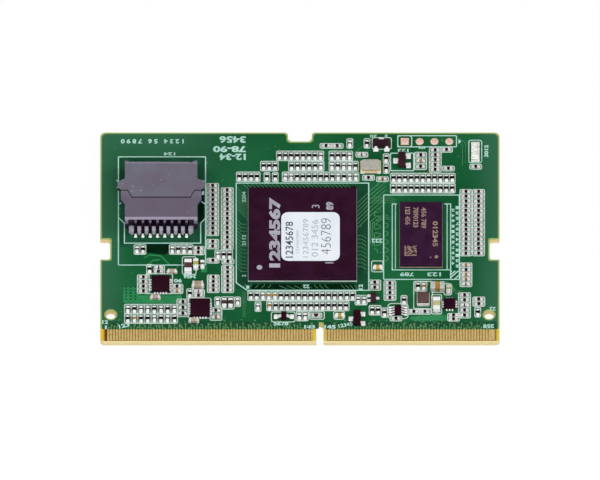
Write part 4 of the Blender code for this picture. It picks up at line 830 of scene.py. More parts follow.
def add_mound(bm, x, y, half_x, half_y, height, sides=12):
    """A dome of solder on the board: the upper half of an ellipsoid."""
    place = Matrix.Translation((x, y, 0)) @ Matrix.Diagonal((half_x, half_y, height, 1.0))
    made = bmesh.ops.create_uvsphere(bm, u_segments=sides, v_segments=8, radius=1.0, matrix=place)
    for vertex in made["verts"]:
        vertex.co.z = max(vertex.co.z, 0.0)


def filleted(corners, steps=6):
    """The points of a closed outline from corners (x, y, radius), each radius laid in as an arc."""
    points = []
    for index, (x, y, radius) in enumerate(corners):
        before = corners[index - 1]
        after = corners[(index + 1) % len(corners)]
        if radius <= 0:
            points.append((x, y))
            continue
        angle_in = math.atan2(before[1] - y, before[0] - x)
        angle_out = math.atan2(after[1] - y, after[0] - x)
        opening = (angle_out - angle_in + math.pi) % (2 * math.pi) - math.pi
        reach = radius / math.sin(abs(opening) / 2)
        middle = angle_in + opening / 2
        centre = (x + reach * math.cos(middle), y + reach * math.sin(middle))
        sweep = math.copysign(math.pi - abs(opening), -opening)
        start = middle + math.pi - sweep / 2
        for step in range(steps + 1):
            angle = start + sweep * step / steps
            points.append((centre[0] + radius * math.cos(angle), centre[1] + radius * math.sin(angle)))
    return points


def rectangle(left, bottom, right, top, radius=0.0, steps=4):
    """An outline with rounded corners."""
    corners = ((left, bottom), (right, bottom), (right, top), (left, top))
    return filleted([(x, y, radius) for x, y in corners], steps)


def arc(x, y, half_x, half_y, start, end, steps=12):
    """Points along a round or flattened arc between two angles in degrees."""
    turns = [math.radians(start + (end - start) * step / steps) for step in range(steps + 1)]
    return [(x + half_x * math.cos(turn), y + half_y * math.sin(turn)) for turn in turns]


def circle(x, y, radius):
    """A round outline."""
    return arc(x, y, radius, radius, 0, 360, 32)[:-1]


def curve_surface(curve):
    """The surface of a curve or a text, as a mesh; frees the curve."""
    holder = bpy.data.objects.new(curve.name, curve)
    bpy.context.scene.collection.objects.link(holder)
    graph = bpy.context.evaluated_depsgraph_get()
    mesh = bpy.data.meshes.new_from_object(holder.evaluated_get(graph))
    bpy.data.objects.remove(holder, do_unlink=True)
    bpy.data.curves.remove(curve)
    return mesh


def pour(bm, mesh, place):
    """Adds a mesh to a shape at a place; frees the mesh."""
    mesh.transform(place)
    bm.from_mesh(mesh)
    bpy.data.meshes.remove(mesh)


def add_plate(bm, outlines, low, high, bevel=0.0):
    """Outlines filled and made solid between two heights; an outline inside another is a hole."""
    curve = bpy.data.curves.new("plate", "CURVE")
    curve.dimensions = "2D"
    curve.fill_mode = "BOTH"
    curve.extrude = (high - low) / 2 - bevel
    curve.bevel_depth = bevel
    curve.bevel_resolution = 1
    curve.offset = -bevel
    for outline in outlines:
        spline = curve.splines.new("POLY")
        spline.points.add(len(outline) - 1)
        for point, (x, y) in zip(spline.points, outline):
            point.co = (x, y, 0, 1)
        spline.use_cyclic_u = True
    pour(bm, curve_surface(curve), Matrix.Translation((0, 0, (low + high) / 2)))
    bmesh.ops.remove_doubles(bm, verts=bm.verts, dist=0.0005)


def skin(bm, rings, closed=False):
    """Walls between rings of four vertices each, and the two ends where the rings don't close."""
    following = rings[1:] + rings[:1] if closed else rings[1:]
    for one, other in zip(rings, following):
        for side in range(4):
            bm.faces.new((one[side - 1], one[side], other[side], other[side - 1]))
    if not closed:
        bm.faces.new(rings[0][::-1])
        bm.faces.new(rings[-1])


def add_line(bm, points, width, low, high, closed=False):
    """A raised line of one width along points on the board."""
    count = len(points)
    rings = []
    for index, (x, y) in enumerate(points):
        before = Vector(points[index - 1]) if closed or index else None
        after = Vector(points[(index + 1) % count]) if closed or index < count - 1 else None
        here = Vector((x, y))
        way_in = (here - before).normalized() if before else (after - here).normalized()
        way_out = (after - here).normalized() if after else way_in
        middle = (way_in + way_out).normalized()
        across = Vector((-middle.y, middle.x))
        reach = width / 2 / max(0.35, across.dot(Vector((-way_in.y, way_in.x))))
        left, right = here + across * reach, here - across * reach
        heights = ((left, low), (left, high), (right, high), (right, low))
        rings.append([bm.verts.new((p.x, p.y, z)) for p, z in heights])
    skin(bm, rings, closed)


def add_text(bm, text, x, y, height, low, high, turn=0.0, bold=0.0, length=None):
    """Digits about their middle, turned, as a raised print; length stretches or tightens the line."""
    curve = bpy.data.curves.new("digits", "FONT")
    curve.body = text
    curve.align_x = "CENTER"
    curve.align_y = "CENTER"
    curve.extrude = (high - low) / 2
    curve.offset = bold
    curve.resolution_u = 3
    mesh = curve_surface(curve)
    across = [vertex.co.x for vertex in mesh.vertices]
    upright = [vertex.co.y for vertex in mesh.vertices]
    middle = ((min(across) + max(across)) / 2, (min(upright) + max(upright)) / 2)
    tall = height / (max(upright) - min(upright))
    wide = length / (max(across) - min(across)) if length else tall
    centred = Matrix.Translation((-middle[0], -middle[1], 0))
    mesh.transform(Matrix.Diagonal((wide, tall, 1.0, 1.0)) @ centred)
    pour(bm, mesh, Matrix.Translation((x, y, (low + high) / 2)) @ Matrix.Rotation(turn, 4, "Z"))


def stamped(master, places, onto=None):
    """Copies of a master shape, one for each matrix, on a given or a new shape; frees the master."""
    bm = bmesh.new() if onto is None else onto
    mesh = bpy.data.meshes.new("master")
    master.to_mesh(mesh)
    master.free()
    for place in places:
        pour(bm, mesh.copy(), place)
    bpy.data.meshes.remove(mesh)
    return bm


def seat(middle, turn=0.0):
    """The matrix that lays a shape down at a part's middle on the board, turned."""
    return Matrix.Translation((middle.x, middle.y, 0)) @ Matrix.Rotation(turn, 4, "Z")


# Board

def board_corners(inset):
    """The corners of the board's outline above the contact edge, moved in by a rim."""
    side = HALF_WIDTH - inset
    top = BOARD_DEPTH - inset
    notch_side = HALF_WIDTH - SIDE_NOTCH_DEPTH - inset
    notch_low = SIDE_NOTCH_Y - SIDE_NOTCH_HEIGHT / 2 - inset
    notch_high = SIDE_NOTCH_Y + SIDE_NOTCH_HEIGHT / 2 + inset
    top_half = TOP_NOTCH_WIDTH / 2 + inset
    top_floor = BOARD_DEPTH - TOP_NOTCH_DEPTH - inset
    right = [
        (side, notch_low, NOTCH_LIP_RADIUS),
        (notch_side, notch_low, NOTCH_RADIUS),
        (notch_side, notch_high, NOTCH_RADIUS),
        (side, notch_high, NOTCH_LIP_RADIUS),
        (side, top, BOARD_CORNER_RADIUS),
        (top_half, top, TOP_NOTCH_LIP_RADIUS),
        (top_half, top_floor, TOP_NOTCH_RADIUS),
    ]
    return right + [(-x, y, radius) for x, y, radius in reversed(right)]


def build_laminate():
    """The bare board: its outline with holes, chamfered along the contact edge on both faces."""
    key = KEY_SLOT_WIDTH / 2
    edge = [
        (-HALF_WIDTH, EDGE_CORNER_CUT, 0),
        (EDGE_CORNER_CUT - HALF_WIDTH, 0, 0),
        (KEY_SLOT_X - key, 0, KEY_SLOT_LIP_RADIUS),
        (KEY_SLOT_X - key, KEY_SLOT_DEPTH, key - 0.01),
        (KEY_SLOT_X + key, KEY_SLOT_DEPTH, key - 0.01),
        (KEY_SLOT_X + key, 0, KEY_SLOT_LIP_RADIUS),
        (HALF_WIDTH - EDGE_CORNER_CUT, 0, 0),
        (HALF_WIDTH, EDGE_CORNER_CUT, 0),
    ]
    holes = [circle(side * HOLE_X, HOLE_Y, HOLE_RADIUS) for side in (-1, 1)]
    bm = bmesh.new()
    add_plate(bm, [filleted(edge + board_corners(0.0)), *holes], -BOARD_THICKNESS, -MASK_THICKNESS)
    for face, way in ((-MASK_THICKNESS, 1), (-BOARD_THICKNESS, -1)):
        start = Vector((0, EDGE_CHAMFER_LENGTH, face))
        normal = Vector((0, -EDGE_CHAMFER_DEPTH, way * EDGE_CHAMFER_LENGTH))
        everything = bm.verts[:] + bm.edges[:] + bm.faces[:]
        bmesh.ops.bisect_plane(bm, geom=everything, plane_co=start, plane_no=normal, clear_outer=True)
        bmesh.ops.holes_fill(bm, edges=[e for e in bm.edges if e.is_boundary], sides=0)
    add_piece("board_laminate", bm, FINISH["laminate"], replaces=["board"])


def build_masks():
    """The green solder mask on both faces, stopping short of every edge and of the contacts."""
    key = KEY_SLOT_WIDTH / 2 + MASK_RIM
    side = HALF_WIDTH - MASK_RIM
    edge = [
        (-side, MASK_START, MASK_CORNER),
        (KEY_SLOT_X - key, MASK_START, 0),
        (KEY_SLOT_X - key, KEY_SLOT_DEPTH + MASK_RIM, MASK_SLOT_CORNER),
        (KEY_SLOT_X + key, KEY_SLOT_DEPTH + MASK_RIM, MASK_SLOT_CORNER),
        (KEY_SLOT_X + key, MASK_START, 0),
        (side, MASK_START, MASK_CORNER),
    ]
    holes = [circle(way * HOLE_X, HOLE_Y, HOLE_RADIUS + MASK_RIM * 0.9) for way in (-1, 1)]
    for name, top in (("solder_mask", 0.0), ("back_mask", -BOARD_THICKNESS)):
        bm = bmesh.new()
        add_plate(bm, [filleted(edge + board_corners(MASK_RIM)), *holes], top - MASK_THICKNESS, top)
        add_piece(name, bm, FINISH["mask"])


def contact_places():
    """X of each edge contact."""
    left = [FIRST_CONTACT_X + index * CONTACT_PITCH for index in range(LEFT_CONTACTS)]
    return left + [FIRST_RIGHT_CONTACT_X + index * CONTACT_PITCH for index in range(RIGHT_CONTACTS)]


def build_edge_contacts():
    """Gilt contacts on both faces, the last one wider."""
    half = CONTACT_WIDTH / 2
    faces = ((-MASK_THICKNESS, CONTACT_PROUD), (-BOARD_THICKNESS - CONTACT_PROUD, -BOARD_THICKNESS))
    bm = bmesh.new()
    for x in contact_places():
        extra = LAST_CONTACT_EXTRA if x > HALF_WIDTH - 2 else 0
        for low, high in faces:
            end = (x + half + extra, CONTACT_START + CONTACT_LENGTH, high)
            add_block(bm, (x - half, CONTACT_START, low), end, 0.015, 1)
    add_piece("edge_contacts", bm, FINISH["gold"])


def build_contact_tails():
    """The short tracks that leave the contacts under the mask, the vias they end in, and specks."""
    tracks = bmesh.new()
    pits = bmesh.new()
    chance = random.Random(5)
    for index, x in enumerate(contact_places()):
        if abs(x - KEY_SLOT_X) < 1.2:
            continue
        reach = MASK_START + TAIL_REACHES[index % len(TAIL_REACHES)] + chance.uniform(-0.1, 0.12)
        sideways = x + chance.choice((-0.14, 0.0, 0.14))
        path = [(x, MASK_START), (x, MASK_START + 0.15), (sideways, reach)]
        add_line(tracks, path, TAIL_WIDTH, TRACE_FOOT, TRACE_PROUD)
        add_drum(tracks, sideways, reach, TRACE_FOOT, TRACE_PROUD + 0.006, TAIL_VIA_RADIUS, 10, 0.16)
        pit_x, pit_y = sideways + 0.03, reach + 0.05
        add_drum(pits, pit_x, pit_y, TRACE_FOOT, TRACE_PROUD + 0.009, TAIL_PIT_RADIUS, 8)
    for _ in range(TAIL_SPECKS):
        x, y = chance.uniform(-33.9, 33.9), chance.uniform(2.95, 4.75)
        if abs(x - KEY_SLOT_X) > 1.1 and abs(abs(x) - HOLE_X) > 1.2:
            add_drum(tracks, x, y, TRACE_FOOT, TRACE_PROUD, chance.uniform(0.08, 0.15), 8, 0.06)
    add_piece("contact_tails", tracks, FINISH["tail"])
    add_piece("via_pits", pits, FINISH["pit"])


def build_header_pads():
    """Four solder-filled holes: copper-coloured lands, the first one square, each with a low dome and a
    lighter crescent on its front, a painted highlight.
    """
    pads = bmesh.new()
    glints = bmesh.new()
    half = HEADER_PAD / 2
    for index in range(HEADER_PADS):
        x = HEADER_X + (index - (HEADER_PADS - 1) / 2) * HEADER_PITCH
        if index == 0:
            low, high = (x - half, HEADER_Y - half, 0), (x + half, HEADER_Y + half, CONTACT_PROUD)
            add_block(pads, low, high, 0.03, 1)
        else:
            add_drum(pads, x, HEADER_Y, 0, CONTACT_PROUD, half, 32, half - 0.03)
        add_mound(pads, x, HEADER_Y + 0.04, 0.58, 0.56, 0.12, 24)
        # A lighter crescent over the dome's front: a painted highlight.
        outer = arc(x, HEADER_Y, 0.64, 0.64, 205, 335)
        inner = arc(x, HEADER_Y + 0.16, 0.6, 0.56, 335, 205)
        add_plate(glints, [outer + inner], 0.0, CONTACT_PROUD + 0.09)
    add_piece("header_pads", pads, FINISH["pad"])
    add_piece("header_glints", glints, FINISH["painted_glint"])


# Small chips

def add_soldered_ends(bm, length, width, height, end, reach):
    """Both ends of a chip along Y: a plated cap and the solder that runs down from it to the land."""
    for way in (-1, 1):
        near, far = sorted((way * (length / 2 - end), way * length / 2))
        add_block(bm, (-width / 2, near, 0.0), (width / 2, far, height), min(0.07, end / 3), 2)
        add_mound(bm, 0.0, way * (length / 2 - 0.1), width / 2 + 0.05, reach + 0.1, height * 0.86)


def chip_body(length, width, height, end):
    """The body between the ends."""
    bm = bmesh.new()
    half = length / 2 - end * 0.9
    add_block(bm, (-width / 2, -half, 0.02), (width / 2, half, height), 0.025, 1)
    return bm


def chip_places():
    """Each small chip's place, whether it stands in a row or a column, and its kind."""
    for x, y, count, pitch, kinds in CHIP_ROWS:
        for index in range(count):
            yield x + index * pitch, y, "row", kinds[index % len(kinds)]
    for x, y, count, pitch, kinds in CHIP_COLUMNS:
        for index in range(count):
            yield x, y - index * pitch, "column", kinds[index % len(kinds)]


def build_small_chips():
    """Bodies by kind and their soldered ends, on tinned lands."""
    chance = random.Random(11)
    bodies = {"row": ROW_BODY, "column": COLUMN_BODY}
    places = {(kind, side): [] for kind in CHIP_KINDS for side in bodies}
    for x, y, side, kind in chip_places():
        skew = math.radians(chance.uniform(-2.5, 2.5))
        nudged = Vector((x + chance.uniform(-0.02, 0.02), y + chance.uniform(-0.02, 0.02)))
        places[kind, side].append(seat(nudged, skew + (QUARTER if side == "column" else 0.0)))
    soldered = {side: bmesh.new() for side in bodies}
    for kind, (name, finish_name, end) in CHIP_KINDS.items():
        master = chip_body(CHIP_LENGTH, CHIP_WIDTH + 0.12, CHIP_HEIGHT, end)
        seats = [
            place @ Matrix.Diagonal(shape)
            for side, shape in bodies.items() for place in places[kind, side]
        ]
        add_piece(name, stamped(master, seats), FINISH[finish_name])
        for side, shape in soldered.items():
            ends = bmesh.new()
            add_soldered_ends(ends, CHIP_LENGTH, CHIP_WIDTH + 0.06, CHIP_HEIGHT, end, SOLDER_REACH)
            stamped(ends, places[kind, side], shape)
    # Ends of chips in rows take the bright solder and ends in columns the dimmer one: lit and shaded
    # copies of one solder, painted light and shade.
    add_piece("row_chip_ends", soldered["row"], FINISH["solder"])
    add_piece("column_chip_ends", soldered["column"], FINISH["dim_solder"])
    lands = bmesh.new()
    for near, far in ((-LAND_END, -LAND_START), (LAND_START, LAND_END)):
        add_block(lands, (-LAND_WIDTH / 2, near, 0.0), (LAND_WIDTH / 2, far, LAND_HEIGHT))
    everywhere = [place for matrices in places.values() for place in matrices]
    add_piece("small_chip_lands", stamped(lands, everywhere), FINISH["land"])


def build_two_terminal(node, finish_name, end_share, end_finish, reach=LARGE_SOLDER_REACH):
    """A larger capacitor or bead between its soldered ends, in its CAD node's box."""
    low, high = node_box(node)
    size = high - low
    width, length = sorted((size.x, size.y))
    place = seat((low + high) / 2, 0.0 if size.y > size.x else QUARTER)
    end = length * end_share
    body = chip_body(length, width - 0.04, high.z - 0.02, end)
    add_piece(node + "_body", stamped(body, [place]), FINISH[finish_name], replaces=[node])
    ends = bmesh.new()
    add_soldered_ends(ends, length - 0.06, width - 0.02, high.z, end, reach)
    add_piece(node + "_ends", stamped(ends, [place]), FINISH[end_finish])


def build_inductor():
    """The power inductor: a resin block whose lower walls and front are silver."""
    low, high = node_box("power_inductor")
    bm = bmesh.new()
    add_block(bm, (low.x + 0.08, low.y + 0.12, 0.3), (high.x - 0.08, high.y - 0.04, high.z), 0.12, 3)
    add_piece("power_inductor_body", bm, FINISH["inductor"], replaces=["power_inductor"])
    bm = bmesh.new()
    add_block(bm, (low.x, low.y, 0.0), (high.x, high.y, high.z * 0.72), 0.1, 3)
    add_piece("power_inductor_ends", bm, FINISH["dim_solder"])


# Print on the board

def chip_cells():
    """The printed cell round each row and column of chips: its outline and the lines that divide it."""
    for x, y, count, pitch, _ in CHIP_ROWS:
        if pitch > WIDEST_CELL:
            for index in range(count):
                left = x + index * pitch - CELL_HALF / 2
                yield (left, y - CELL_HALF, left + CELL_HALF, y + CELL_HALF), []
            continue
        low, high = y - CELL_HALF + 0.1, y + CELL_HALF + 0.1
        dividers = [x + (index + 0.5) * pitch for index in range(count - 1)]
        box = (x - pitch / 2, low, x + (count - 0.5) * pitch, high)
        yield box, [[(place, low), (place, high)] for place in dividers]
    for x, y, count, pitch, _ in CHIP_COLUMNS:
        left, right = x - CELL_HALF - 0.05, x + CELL_HALF + 0.05
        dividers = [y - (index + 0.5) * pitch for index in range(count - 1)]
        box = (left, y - (count - 0.5) * pitch, right, y + pitch / 2)
        yield box, [[(left, place), (right, place)] for place in dividers]


def build_cell_print():
    """The light grey outlines round the small chips, and the greyer ground in them."""
    lines = bmesh.new()
    ground = bmesh.new()
    for index, (box, dividers) in enumerate(chip_cells()):
        high = PRINT_PROUD + CELL_STEP * (index % 7)
        outline = rectangle(*box, CELL_CORNER, 2)
        add_plate(ground, [outline], 0.0, 0.002 + high / 8)
        add_line(lines, outline, CELL_PRINT_WIDTH, 0.0, high, closed=True)
        for path in dividers:
            add_line(lines, path, CELL_PRINT_WIDTH * 0.9, 0.0, high - CELL_STEP / 2)
    for index, outline in enumerate(PART_OUTLINES):
        high = PRINT_PROUD + 8 * CELL_STEP + PRINT_STEP * index
        add_line(lines, rectangle(*outline), CELL_PRINT_WIDTH, 0.0, high, closed=True)
    add_piece("chip_outlines", lines, FINISH["cell_print"])
    add_piece("chip_ground", ground, FINISH["cell_fill"])


def build_board_print():
    """Outlines of the socket, the two large packages, the header and the lamp, and plain numbers."""
    bm = bmesh.new()
    closed = (
        rectangle(-31.65, 15.9, -16.45, 38.15, 0.1, 1),
        [(-11.1, 32.75), (12.0, 32.75), (12.0, 10.7), (-9.2, 10.7), (-11.1, 12.25)],
        rectangle(14.6, 12.95, 27.8, 30.3, 0.1, 1),
        rectangle(17.06, 40.2, 27.3, 42.5, 0.1, 1),
        rectangle(17.06, 40.2, 19.5, 42.5, 0.45, 3),
        rectangle(29.45, 36.9, 31.7, 41.57, 0.4, 3),
        rectangle(15.8, 35.3, 19.85, 38.9, 0.15, 2),
    )
    opened = (
        [(-31.6, 25.6), (-30.6, 24.5), (-30.6, 20.4), (-17.3, 20.4), (-17.3, 24.5), (-16.4, 25.6)],
        [(-31.6, 28.4), (-30.7, 29.0)],
        [(-17.2, 29.0), (-16.3, 28.2)],
        [(-32.0, 33.4), (-31.2, 32.4)],
        [(-31.9, 31.9), (-31.0, 31.1)],
        [(-17.7, 33.4), (-16.6, 33.1)],
        [(16.9, 28.46), (16.1, 28.46), (16.1, 14.9), (26.1, 14.9)],
        [(16.65, 28.46), (16.65, 15.2)],
        [(25.2, 28.46), (26.28, 28.46), (26.28, 13.1)],
        [(25.67, 28.46), (25.67, 14.9)],
        [(26.3, 13.3), (27.6, 14.7)],
        [(26.3, 13.9), (27.1, 14.7)],
        [(26.3, 14.5), (26.5, 14.7)],
        [(27.0, 13.0), (27.7, 13.8)],
    )
    for index, outline in enumerate(closed):
        add_line(bm, outline, PRINT_WIDTH, 0.0, PRINT_PROUD + 0.009 + PRINT_STEP * index, closed=True)
    for index, path in enumerate(opened):
        add_line(bm, path, PRINT_WIDTH, 0.0, PRINT_PROUD + 0.016 + PRINT_STEP * index)
    add_plate(bm, [[(27.65, 40.85), (28.15, 41.3), (27.65, 41.8)]], 0.0, PRINT_PROUD)
    add_plate(bm, [rectangle(-17.1, 30.3, -16.7, 31.2, 0.1, 2)], 0.0, PRINT_PROUD)
    for index, (text, x, y, height, turn, bold, length) in enumerate(BOARD_DIGITS):
        add_text(bm, text, x, y, height, 0.0, PRINT_PROUD + 0.0003 * index, turn, bold, length)
    for index in range(SIDE_DIGITS):
        x = 26.7 if index % 2 else 27.42
        y = 27.7 - SIDE_DIGIT_PITCH * index
        add_text(bm, str(index % 9 + 1), x, y, 0.62, 0.0, PRINT_PROUD, HALF_TURN, 0.05, 0.55)
    add_piece("board_print", bm, FINISH["print"])


# Copper under the mask

def add_bundle(bm, start, bends, step, count, width):
    """Parallel tracks: the first one's path, repeated by a step."""
    for index in range(count):
        path = [(start[0] + step[0] * index, start[1] + step[1] * index)]
        for dx, dy in bends:
            path.append((path[-1][0] + dx, path[-1][1] + dy))
        add_line(bm, path, width, TRACE_FOOT, TRACE_PROUD)


def add_meander(bm, x, top, bottom, swing):
    """A track that winds down the board to even out its length."""
    path = [(x, top)]
    y = top
    side = 1
    while y - MEANDER_PITCH > bottom:
        turn_x, next_y = x + side * swing, y - MEANDER_PITCH
        path += [(turn_x, y - MEANDER_BEND), (turn_x, next_y + MEANDER_BEND), (x, next_y)]
        y = next_y
        side = -side
    path.append((x, bottom))
    add_line(bm, path, MEANDER_WIDTH, TRACE_FOOT, TRACE_PROUD)


def build_tracks():
    """Tracks and small vias that show through the mask as lighter green."""
    bm = bmesh.new()
    for bundle in TRACK_BUNDLES:
        add_bundle(bm, *bundle)
    add_meander(bm, 13.5, 27.6, 18.4, 0.5)
    add_meander(bm, 15.0, 26.2, 16.6, 0.35)
    chance = random.Random(3)
    for _ in range(BOARD_VIAS):
        x, y = chance.uniform(-32.6, 32.6), chance.uniform(4.0, 42.2)
        if abs(x) > 2.9 or y < 40.6:
            add_drum(bm, x, y, TRACE_FOOT, TRACE_PROUD, 0.11, 8, 0.08)
    add_piece("tracks", bm, FINISH["trace"])


def areas(outlines, high):
    """Flat areas under the mask, as one shape."""
    bm = bmesh.new()
    for outline in outlines:
        add_plate(bm, [outline], TRACE_FOOT, high)
    return bm


def rounded(corners, radius, steps):
    """An outline of any corners, all rounded alike."""
    return filleted([(x, y, radius) for x, y in corners], steps)


def build_copper_areas():
    """Copper areas that show through the mask, darker green areas that are partly painted shade,
    painted shadows round the socket and the processor, and a block of vias.
    """
    copper = areas([rounded(corners, 0.25, 3) for corners in (
        ((-30.8, 11.4), (-28.4, 11.4), (-28.2, 9.7), (-20.6, 9.7), (-20.6, 8.1), (-30.8, 8.1)),
        ((25.6, 12.6), (27.0, 11.2), (27.0, 10.6), (24.4, 10.6), (24.4, 12.6)),
        ((18.9, 5.3), (19.6, 4.5), (25.6, 4.5), (25.6, 5.6)),
        ((-17.3, 14.4), (-16.2, 14.4), (-16.2, 16.9), (-17.3, 16.9)),
    )], COPPER_PROUD)
    for path in (
        ((-27.2, 17.4), (-26.1, 18.0), (-24.3, 17.8), (-22.8, 16.1)),
        ((-26.2, 16.4), (-25.5, 16.9), (-24.4, 17.0)),
    ):
        add_line(copper, path, COPPER_STRIP_WIDTH, TRACE_FOOT, COPPER_PROUD)
    add_piece("copper_areas", copper, FINISH["copper"])
    # Darker green mask inside the processor's outline and along the contacts; round the socket it is
    # painted shade, beside and before the socket.
    bare = areas([rectangle(*box, 0.1, 1) for box in (
        (-10.95, 10.9, 11.85, 32.6), (-31.4, 19.6, -16.6, 37.9),
        (-34.3, 2.8, 3.3, 4.3), (4.2, 2.8, 34.3, 4.3),
    )], DARKER_MASK_PROUD)
    add_piece("darker_mask_areas", bare, FINISH["darker_mask"])
    # Painted shadows: strips beside and behind the socket, along the processor's lower and upper edges,
    # and an area before the socket's front.
    dark = [rectangle(*box, 0.3, 2) for box in (
        (-17.75, 24.6, -16.75, 31.2), (-30.0, 36.2, -19.5, 37.1),
        (-8.6, 10.95, 9.7, 12.0), (-8.9, 31.5, 9.9, 32.1),
    )]
    shadow_before_socket = (
        (-26.8, 20.2), (-22.65, 20.2), (-22.7, 18.5), (-23.6, 18.0), (-25.4, 18.3), (-26.8, 18.5),
    )
    dark.append(rounded(shadow_before_socket, 0.35, 4))
    add_piece("painted_shadow_areas", areas(dark, PAINTED_SHADOW_PROUD), FINISH["painted_shadow"])
    vias = bmesh.new()
    for column in range(3):
        for row in range(5):
            x, y = -30.3 + 0.8 * column, 8.9 + 0.62 * row
            add_drum(vias, x, y, TRACE_FOOT, TRACE_PROUD, 0.16, 10)
    add_piece("copper_vias", vias, FINISH["pit"])


# Packages

def build_ball_grid(node, columns, rows, pitch, thickness, finish_name):
    """A package's substrate on its two outer rings of solder balls, in its CAD node's box."""
    low, high = node_box(node)
    foot = 0.02
    under = high.z - thickness
    bm = bmesh.new()
    add_block(bm, (low.x, low.y, under), (high.x, high.y, high.z), 0.03, 1)
    add_piece(node + "_plate", bm, FINISH[finish_name], replaces=[node])
    ball = bmesh.new()
    bmesh.ops.create_uvsphere(ball, u_segments=10, v_segments=6, radius=(under - foot) / 2 + 0.03)
    middle = (low + high) / 2
    places = []
    for column in range(columns):
        for row in range(rows):
            if min(column, row, columns - 1 - column, rows - 1 - row) < 2:
                x = middle.x + (column - (columns - 1) / 2) * pitch
                y = middle.y + (row - (rows - 1) / 2) * pitch
                places.append(Matrix.Translation((x, y, (foot + under) / 2)))
    add_piece(node + "_balls", stamped(ball, places), FINISH["solder"])


def print_shape(rows, low, high, turn):
    """Lines of digits as one shape; a row is its digits, middle, height, boldness and length."""
    bm = bmesh.new()
    for text, x, y, height, bold, length in rows:
        add_text(bm, text, x, y, height, low, high, turn, bold, length)
    return bm


def build_package_print():
    """Plain digits and marks on the processor, its label and the memory."""
    low, high = node_box("processor_cap")
    bm = print_shape((
        ("1234567", -4.4, 21.84, 2.05, 0.05, 14.4),
        ("3", 2.75, 27.2, 1.35, 0.0, None),
        ("89", 5.23, 27.3, 1.35, 0.05, None),
        ("1", 5.13, 15.6, 1.45, 0.0, None),
    ), high.z, high.z + MARK_PROUD, QUARTER)
    add_drum(bm, low.x + 1.95, low.y + 2.45, high.z - 0.055, high.z - 0.045, 0.5, 32)
    add_piece("processor_print", bm, FINISH["cap_print"])
    top = node_box("processor_label")[1].z
    bm = print_shape((
        ("12345678", -1.85, 20.3, 1.35, 0.01, 7.4),
        ("456789", 4.55, 21.0, 1.7, -0.02, 7.4),
    ), top, top + MARK_PROUD / 2, QUARTER)
    add_piece("label_print", bm, FINISH["ink"])
    bm = print_shape((
        ("1234567890", -0.4, 19.9, 0.45, 0.0, 4.6),
        ("123456789", 1.0, 20.6, 0.95, 0.0, 7.9),
        ("012 3456", 2.6, 20.6, 1.15, 0.0, 7.6),
    ), top, top + MARK_PROUD / 2, QUARTER)
    add_piece("faint_label_print", bm, FINISH["faint_ink"])
    top = node_box("memory_cap")[1].z
    bm = print_shape((
        ("123 456", 18.8, 25.3, 0.9, 0.03, 3.6),
        ("7890123", 20.2, 25.0, 0.9, 0.03, 4.1),
        ("456 789", 21.6, 24.9, 0.9, 0.03, 4.3),
        ("012345", 23.6, 21.6, 0.9, 0.03, 5.2),
    ), top, top + MARK_PROUD, -QUARTER)
    chance = random.Random(8)
    for column in range(12):
        for row in range(12):
            if column and row and chance.random() < 0.5:
                continue
            x, y = 18.25 + column * 0.175, 17.1 + row * 0.175
            add_plate(bm, [rectangle(x, y, x + 0.165, y + 0.165)], top, top + 0.01)
    add_drum(bm, 22.8, 16.8, top, top + MARK_PROUD, 0.13, 16)
    add_drum(bm, 23.8, 16.9, top, top + MARK_PROUD, 0.33, 24)
    add_piece("memory_print", bm, FINISH["laser"])


def lead_path(inner, shoulder, foot_start, foot_end, high, thickness):
    """The middle line of a gull-wing lead, with rounded bends."""
    low = 0.02 + thickness / 2
    return [
        (inner, high), (shoulder, high), (shoulder + 0.06, high - 0.03),
        (foot_start - 0.05, low + 0.04), (foot_start, low), (foot_end, low),
    ]


def add_lead(bm, path, width, thickness, side, place):
    """A bent lead: side is +1 or -1 along X, place its Y."""
    half = width / 2
    rings = []
    for index, (x, z) in enumerate(path):
        before = Vector(path[max(index - 1, 0)])
        after = Vector(path[min(index + 1, len(path) - 1)])
        way = (after - before).normalized()
        normal = Vector((-way.y, way.x)) * thickness / 2
        upper, lower = Vector((x, z)) + normal, Vector((x, z)) - normal
        corners = ((-half, upper), (half, upper), (half, lower), (-half, lower))
        rings.append([bm.verts.new((side * p.x, place + y, p.y)) for y, p in corners])
    skin(bm, rings)


def add_solder_foot(bm, x, y, width, length, side, spread):
    """Solder round a lead's foot, as a rounded mound that spreads past it on every side."""
    toe = x + side * (length + spread)
    heel = x - side * 0.1
    low = (min(heel, toe), y - width / 2 - spread, 0.0)
    high = (max(heel, toe), y + width / 2 + spread, 0.28)
    add_block(bm, low, high, min(0.13, width / 2 + spread - 0.03), 3)


def moulded_body(width, depth, low, high):
    """A moulded chip's body, widest at the parting line half way up."""
    draft = 0.1
    waist = (low + high) / 2
    corners = ((-1, -1), (1, -1), (1, 1), (-1, 1))
    bm = bmesh.new()
    rings = []
    for z, inset in ((low, draft), (waist - 0.02, 0.0), (waist + 0.02, 0.0), (high, draft)):
        x, y = width / 2 - inset, depth / 2 - inset
        rings.append([bm.verts.new((way_x * x, way_y * y, z)) for way_x, way_y in corners])
    skin(bm, rings)
    sharp = [edge for edge in bm.edges if edge.calc_face_angle(0) > math.radians(50)]
    bmesh.ops.bevel(bm, geom=sharp, offset=0.04, segments=2, affect="EDGES", profile=0.5)
    return bm


